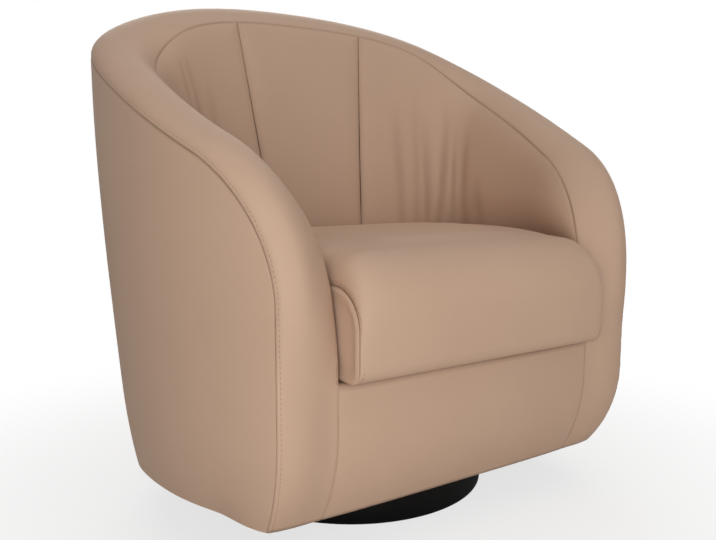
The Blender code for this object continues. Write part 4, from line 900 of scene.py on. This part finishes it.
# %% Zip panel
ZIP_ACROSS, ZIP_ROWS = 41, 16
zip_across = np.linspace(-1.0, 1.0, ZIP_ACROSS)
zip_low, zip_top = (cushion_point(zip_across, np.full(ZIP_ACROSS, CUSHION_BACK), np.full(ZIP_ACROSS, z))
                    for z in (CUSHION_BOTTOM, SEWN_TOP))
zip_grid = zip_low[:, None] + (zip_top - zip_low)[:, None] * np.linspace(0.0, 1.0, ZIP_ROWS)[None, :, None]
backward = np.broadcast_to(np.array([0.0, 1.0, 0.0]), zip_grid.shape)
pad_leather(cover("zip_panel_leather", zip_grid, backward, np.zeros(zip_grid.shape[:2])), 0.8, "zip_panel")
bpy.data.objects.remove(cushion_block)

# %% [markdown]
# Topstitching repeats along a line, so Geometry Nodes make it: the line is cut at the stitch pitch and a
# small thread bead is put at each point, turned along the line and laid on the leather. The base below is
# turned by nodes too, so both trees share how they begin and end.

# %% Thread
THREAD_MM = 0.8
ONE_BAND = 0.3  # a wave texture of this scale has about one band in each unit
THREAD_DARK, THREAD_TAN = "#8E6B51", "#A98468"


def make_thread(name):
    """Bonded polyester thread: a tight twist with a dull silky sheen."""
    material, tree, place = new_finish(name)
    twist = add_node(tree, "ShaderNodeTexWave", {"bands_direction": "DIAGONAL"}, {
        "Vector": place, "Scale": ONE_BAND / (THREAD_MM * MM), "Distortion": 0.5})
    colour = add_node(tree, "ShaderNodeMix", {"data_type": "RGBA"}, {
        0: twist.outputs["Fac"], 6: linear(THREAD_DARK), 7: linear(THREAD_TAN)})
    close_finish(tree, {"Base Color": colour.outputs[2], "Roughness": 0.6})
    return material


tan_thread = make_thread("tan_bonded_thread")
print("finish", tan_thread.name)

# %% Helpers for Geometry Nodes


def begin_tree(name, **sizes):
    """A tree that takes a geometry, named sizes and a finish; gives the tree and its inputs."""
    tree = bpy.data.node_groups.new(name, "GeometryNodeTree")
    for socket, kind in {"Geometry": "Geometry", **sizes, "Finish": "Material"}.items():
        tree.interface.new_socket(socket, in_out="INPUT", socket_type="NodeSocket" + kind)
    tree.interface.new_socket("Geometry", in_out="OUTPUT", socket_type="NodeSocketGeometry")
    return tree, add_node(tree, "NodeGroupInput").outputs


def end_tree(tree, geometry, finish):
    """Make the result real, because the export drops instances, and give it its finish."""
    real = add_node(tree, "GeometryNodeRealizeInstances", inputs={"Geometry": geometry})
    done = add_node(tree, "GeometryNodeSetMaterial", inputs={"Geometry": real.outputs[0], "Material": finish})
    add_node(tree, "NodeGroupOutput", inputs={0: done.outputs[0]})
    return tree


def line_object(name, points, edges):
    """An object of points and edges for a tree to work on."""
    mesh = bpy.data.meshes.new(name)
    mesh.from_pydata(points, edges, [])
    piece = bpy.data.objects.new(name, mesh)
    scene.collection.objects.link(piece)
    return piece


def grow(piece, tree, values):
    """Run a tree on a piece, with inputs set by the identifiers of their sockets, and keep the mesh."""
    modifier = piece.modifiers.new(tree.name, "NODES")
    modifier.node_group = tree
    for item in tree.interface.items_tree:
        if item.in_out == "INPUT" and item.name in values:
            modifier[item.identifier] = values[item.name]
    apply_modifiers(piece)
    print(tree.name, len(piece.data.polygons), "faces")


# %% Stitch tree
STITCH_PITCH, STITCH_LENGTH = 6.5 * MM, 4.8 * MM
THREAD_LIFT = 0.1 * MM


def stitch_tree():
    """Geometry nodes: a thread bead along a line at every stitch."""
    tree, given = begin_tree("stitches", Pitch="Float", Length="Float", Thread="Float")
    line = add_node(tree, "GeometryNodeMeshToCurve", inputs={"Mesh": given["Geometry"]})
    cut = add_node(tree, "GeometryNodeResampleCurve", {"mode": "LENGTH"}, {
        "Curve": line.outputs["Curve"], "Length": given["Pitch"]})
    bead = add_node(tree, "GeometryNodeMeshUVSphere", inputs={"Segments": 6, "Rings": 4, "Radius": 0.5})
    size = add_node(tree, "ShaderNodeCombineXYZ", inputs={
        0: given["Length"], 1: given["Thread"], 2: given["Thread"]})
    thread = add_node(tree, "GeometryNodeTransform", inputs={
        "Geometry": bead.outputs["Mesh"], "Scale": size.outputs[0]})
    tangent = add_node(tree, "GeometryNodeInputTangent")
    out = add_node(tree, "GeometryNodeInputNamedAttribute", {"data_type": "FLOAT_VECTOR"}, {"Name": "out"})
    turned = add_node(tree, "FunctionNodeAlignRotationToVector", {"axis": "X"}, {
        "Vector": tangent.outputs[0]})
    laid = add_node(tree, "FunctionNodeAlignRotationToVector", {"axis": "Z", "pivot_axis": "X"}, {
        "Rotation": turned.outputs[0], "Vector": out.outputs[0]})
    put = add_node(tree, "GeometryNodeInstanceOnPoints", inputs={
        "Points": cut.outputs[0], "Instance": thread.outputs[0], "Rotation": laid.outputs[0]})
    return end_tree(tree, put.outputs[0], given["Finish"])


# %% Sew
line_points, line_outs, line_edges = [], [], []
for points, outs in stitch_lines:
    start = len(line_points)
    line_points += [tuple(p) for p in points + outs * THREAD_LIFT]
    line_outs += outs.tolist()
    line_edges += [(start + k, start + k + 1) for k in range(len(points) - 1)]
stitching = line_object("topstitching", line_points, line_edges)
out_layer = stitching.data.attributes.new("out", "FLOAT_VECTOR", "POINT")
out_layer.data.foreach_set("vector", np.ravel(line_outs))
grow(stitching, stitch_tree(), {"Pitch": STITCH_PITCH, "Length": STITCH_LENGTH, "Thread": THREAD_MM * MM,
                                "Finish": tan_thread})
stitching.data.polygons.foreach_set("use_smooth", [True] * len(stitching.data.polygons))
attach(stitching, "seat")

# %% [markdown]
# The round base is turned board with black lacquer. A faint orange-peel and a soft reflection of the floor
# are what the eye gets. It is a turned profile with a rounded edge, fine enough to have a round outline.

# %% Lacquer
PEEL_MM, DUST_MM = 3.0, 35.0
LACQUER_BLACK, LACQUER_DUSTY = "#050505", "#0B0A0A"


def make_lacquer(name):
    """Sprayed black lacquer: a dark body colour under a smooth coat with a little orange-peel."""
    material, tree, place = new_finish(name)
    peel = add_node(tree, "ShaderNodeTexNoise", inputs={
        "Vector": place, "Scale": 1.0 / (PEEL_MM * MM), "Detail": 2.0})
    bump = add_node(tree, "ShaderNodeBump", inputs={
        "Height": peel.outputs["Fac"], "Strength": 0.12, "Distance": 0.05 * MM})
    dust = add_node(tree, "ShaderNodeTexNoise", inputs={
        "Vector": place, "Scale": 1.0 / (DUST_MM * MM), "Detail": 4.0})
    colour = add_node(tree, "ShaderNodeMix", {"data_type": "RGBA"}, {
        0: dust.outputs["Fac"], 6: linear(LACQUER_BLACK), 7: linear(LACQUER_DUSTY)})
    rough = add_node(tree, "ShaderNodeMapRange", inputs={
        "Value": dust.outputs["Fac"], "To Min": 0.38, "To Max": 0.48})
    close_finish(tree, {"Base Color": colour.outputs[2], "Roughness": rough.outputs[0],
                        "Normal": bump.outputs["Normal"], "Specular IOR Level": 0.12})
    return material


black_lacquer = make_lacquer("black_sprayed_lacquer")
print("finish", black_lacquer.name)

# %% Turning tree


def turning_tree():
    """Geometry nodes: sweep a section round a circle, close its two poles and give it its finish."""
    tree, given = begin_tree("turned_on_the_axis", Radius="Float", Steps="Int")
    section = add_node(tree, "GeometryNodeMeshToCurve", inputs={"Mesh": given["Geometry"]})
    circle = add_node(tree, "GeometryNodeCurvePrimitiveCircle", inputs={
        "Resolution": given["Steps"], "Radius": given["Radius"]})
    swept = add_node(tree, "GeometryNodeCurveToMesh", inputs={
        "Curve": circle.outputs["Curve"], "Profile Curve": section.outputs["Curve"]})
    poles = add_node(tree, "GeometryNodeMergeByDistance", inputs={
        "Geometry": swept.outputs["Mesh"], "Distance": 0.01 * MM})
    return end_tree(tree, poles.outputs[0], given["Finish"])


# %% Turned base
EDGE_LOW, EDGE_TOP, EDGE_ROWS_TURNED = 4 * MM, 9 * MM, 9
FOOT_INSET, TOP_LAND = 2 * MM, 1.6 * EDGE_TOP
FLANK_INSET, FLANK_LOW, FLANK_HIGH = 0.5 * MM, 14 * MM, 22 * MM
TURN_STEPS = 160
base_low, base_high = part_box("base_disc")
base_radius = base_high[0]
edge_turn = np.linspace(0.0, math.pi / 2, EDGE_ROWS_TURNED)
low_edge = base_radius - FOOT_INSET - EDGE_LOW
profile = [(0.0, base_low[2]), (low_edge, base_low[2])]
profile += [(low_edge + EDGE_LOW * math.sin(a), base_low[2] + EDGE_LOW - EDGE_LOW * math.cos(a))
            for a in edge_turn[1:]]
profile += [(base_radius - FLANK_INSET, base_low[2] + FLANK_LOW), (base_radius, base_low[2] + FLANK_HIGH)]
profile += [(base_radius - EDGE_TOP + EDGE_TOP * math.cos(a),
             base_high[2] - EDGE_TOP + EDGE_TOP * math.sin(a)) for a in edge_turn]
profile += [(base_radius - TOP_LAND, base_high[2]), (0.0, base_high[2])]
base_round = line_object("base_round", [(r - base_radius, -z, 0.0) for r, z in profile],
                         [(k, k + 1) for k in range(len(profile) - 1)])
grow(base_round, turning_tree(), {"Radius": base_radius, "Steps": TURN_STEPS, "Finish": black_lacquer})
face_out(base_round.data)
place_piece(base_round, "base", "black_lacquer", "base_disc")
print("base radius", round(base_radius, 4))

# %% [markdown]
# The pieces inside keep their CAD shapes. Each still gets the finish of its real material, so that the part
# looks right when it is opened or seen from below: zinc plate, bearing steel, nylon, felt, wood, foam, cloth.

# %% Finishes of the hidden pieces
# Slot: two colours, pattern, its size in mm along x, y and z, roughness, metallic, bump in mm
HIDDEN = {
    "zinc_plated_steel": ("#A9ABAE", "#C3C4C4", "cloud", (9, 9, 9), 0.34, 1.0, 0.01),
    "bearing_steel": ("#B4B5B8", "#CFCFD0", "cloud", (14, 14, 14), 0.20, 1.0, 0.0),
    "white_nylon": ("#DAD7CC", "#E6E4DB", "cloud", (6, 6, 6), 0.48, 0.0, 0.01),
    "grey_felt": ("#4A4A4A", "#5E5D5B", "cloud", (1.5, 1.5, 1.5), 0.95, 0.0, 0.20),
    "birch_plywood": ("#CDA873", "#B98E58", "cloud", (60, 60, 2.6), 0.62, 0.0, 0.03),
    "beech_timber": ("#C79F71", "#AE8152", "cloud", (4, 60, 4), 0.58, 0.0, 0.03),
    "brown_fibreboard": ("#7A6046", "#8E7355", "cloud", (3, 3, 3), 0.85, 0.0, 0.05),
    "cream_foam": ("#D9CDA4", "#C9BB8E", "cell", (2.5, 2.5, 2.5), 0.95, 0.0, 0.30),
    "spring_steel": ("#5C5D60", "#77787A", "cloud", (8, 8, 8), 0.40, 1.0, 0.01),
    "black_webbing": ("#1B1B1C", "#323233", "weave", (3, 3, 3), 0.88, 0.0, 0.25),
    "grey_deck_cloth": ("#6E6B66", "#8A8780", "weave", (2, 2, 2), 0.92, 0.0, 0.20),
    "black_cambric": ("#161616", "#252525", "weave", (1.5, 1.5, 1.5), 0.95, 0.0, 0.10),
}


def make_hidden(name, dark, pale, pattern, size, rough, metal, bump_mm):
    """A plain two-colour finish with one pattern, for a piece inside the chair."""
    material, tree, place = new_finish(name)
    scaled = add_node(tree, "ShaderNodeMapping", inputs={
        "Vector": place, "Scale": tuple(1.0 / (mm * MM) for mm in size)})
    if pattern == "cell":
        node = add_node(tree, "ShaderNodeTexVoronoi", inputs={"Vector": scaled.outputs[0], "Scale": 1.0})
        value = node.outputs["Distance"]
    elif pattern == "weave":
        threads = [add_node(tree, "ShaderNodeTexWave", {"bands_direction": axis}, {
            "Vector": scaled.outputs[0], "Scale": ONE_BAND}) for axis in "XY"]
        value = add_node(tree, "ShaderNodeMath", {"operation": "MULTIPLY"}, {
            0: threads[0].outputs["Fac"], 1: threads[1].outputs["Fac"]}).outputs[0]
    else:
        node = add_node(tree, "ShaderNodeTexNoise", inputs={
            "Vector": scaled.outputs[0], "Scale": 1.0, "Detail": 4.0})
        value = node.outputs["Fac"]
    colour = add_node(tree, "ShaderNodeMix", {"data_type": "RGBA"}, {
        0: value, 6: linear(dark), 7: linear(pale)})
    surface = {"Base Color": colour.outputs[2], "Roughness": rough, "Metallic": metal}
    if bump_mm:
        surface["Normal"] = add_node(tree, "ShaderNodeBump", inputs={
            "Height": value, "Strength": 0.6, "Distance": bump_mm * MM}).outputs["Normal"]
    close_finish(tree, surface)
    return material


finishes = {slot: make_hidden(slot + "_finish", *row) for slot, row in HIDDEN.items()}
finishes["tan_leather"] = tan_leather
finishes["black_lacquer"] = black_lacquer
for name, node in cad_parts.items():
    slot_name = node.data.materials[0].name.split(".")[0] if node.data.materials else ""
    if slot_name in finishes:
        node.data.materials[0] = finishes[slot_name]
    else:
        print("no finish for", name, slot_name)
print(len(HIDDEN), "finishes of hidden pieces")

# %% [markdown]
# A pale floor and four soft lamps stand for a photo studio: a strong one low at the left, as the photograph's
# shading asks, a weak one at the right, a broad one above, and one behind for the views of the back. The
# world is white for what the camera and reflections see, and only a dim fill for the rest.

# %% Floor
FLOOR_SIZE = 8.0
SHADOW_NEAR, SHADOW_FAR, SHADOW_FADE = 0.35, 1.1, 0.72
floor_material, tree, place = new_finish("pale_studio_floor")
pale = add_node(tree, "ShaderNodeBsdfPrincipled", inputs={"Base Color": linear("#F2F1EF"), "Roughness": 0.9})
path_kind = add_node(tree, "ShaderNodeLightPath")
white = add_node(tree, "ShaderNodeEmission", inputs={"Color": (1.0, 1.0, 1.0, 1.0), "Strength": 1.0})
from_chair = add_node(tree, "ShaderNodeVectorMath", {"operation": "LENGTH"}, {0: place})
fade = add_node(tree, "ShaderNodeMapRange", {"interpolation_type": "SMOOTHSTEP"}, {
    "Value": from_chair.outputs["Value"], "From Min": SHADOW_NEAR, "From Max": SHADOW_FAR,
    "To Min": SHADOW_FADE, "To Max": 1.0})
seen = add_node(tree, "ShaderNodeMath", {"operation": "MULTIPLY"}, {
    0: path_kind.outputs["Is Camera Ray"], 1: fade.outputs[0]})
mixed = add_node(tree, "ShaderNodeMixShader", inputs={
    0: seen.outputs[0], 1: pale.outputs[0], 2: white.outputs[0]})
add_node(tree, "ShaderNodeOutputMaterial", inputs={"Surface": mixed.outputs[0]})
corners = [(x * FLOOR_SIZE, y * FLOOR_SIZE, 0.0) for x, y in ((-1, -1), (1, -1), (1, 1), (-1, 1))]
floor_mesh = bpy.data.meshes.new("studio_floor")
floor_mesh.from_pydata(corners, [], [(0, 1, 2, 3)])
floor_mesh.materials.append(floor_material)
floor = bpy.data.objects.new("studio_floor", floor_mesh)
scene.collection.objects.link(floor)
print("floor", 2 * FLOOR_SIZE, "m wide")

# %% World and lamps
FILL = 0.02
LAMP_TARGET = Vector((0.0, 0.0, 0.45))
# Place, size and power of each lamp
LAMPS = {"left_softbox": ((-1.2, -1.7, 0.55), 1.4, 25.0),
         "right_softbox": ((0.9, -1.9, 0.8), 1.6, 4.5),
         "top_softbox": ((0.0, -0.4, 2.4), 3.0, 25.0),
         "back_softbox": ((0.9, 2.0, 1.2), 2.0, 34.0)}
world = bpy.data.worlds.new("studio_world")
world.use_nodes = True
tree = world.node_tree
tree.nodes.clear()
path_kind = add_node(tree, "ShaderNodeLightPath")
direct = add_node(tree, "ShaderNodeMath", {"operation": "MAXIMUM"}, {
    0: path_kind.outputs["Is Camera Ray"], 1: path_kind.outputs["Is Glossy Ray"]})
direct = add_node(tree, "ShaderNodeMath", {"operation": "MAXIMUM"}, {
    0: direct.outputs[0], 1: path_kind.outputs["Is Transmission Ray"]})
strength = add_node(tree, "ShaderNodeMapRange", inputs={
    "Value": direct.outputs[0], "To Min": FILL, "To Max": 1.0})
sky = add_node(tree, "ShaderNodeBackground", inputs={
    "Color": (1.0, 1.0, 1.0, 1.0), "Strength": strength.outputs[0]})
add_node(tree, "ShaderNodeOutputWorld", inputs={"Surface": sky.outputs[0]})
scene.world = world
for name, (at, size, power) in LAMPS.items():
    lamp = bpy.data.lights.new(name, "AREA")
    lamp.shape, lamp.size, lamp.energy = "SQUARE", size, power
    holder = bpy.data.objects.new(name, lamp)
    holder.matrix_world = (Matrix.Translation(at)
                           @ (LAMP_TARGET - Vector(at)).to_track_quat("-Z", "Y").to_matrix().to_4x4())
    holder.visible_camera = False
    scene.collection.objects.link(holder)
scene.view_settings.view_transform = "Standard"
print("lamps", list(LAMPS))
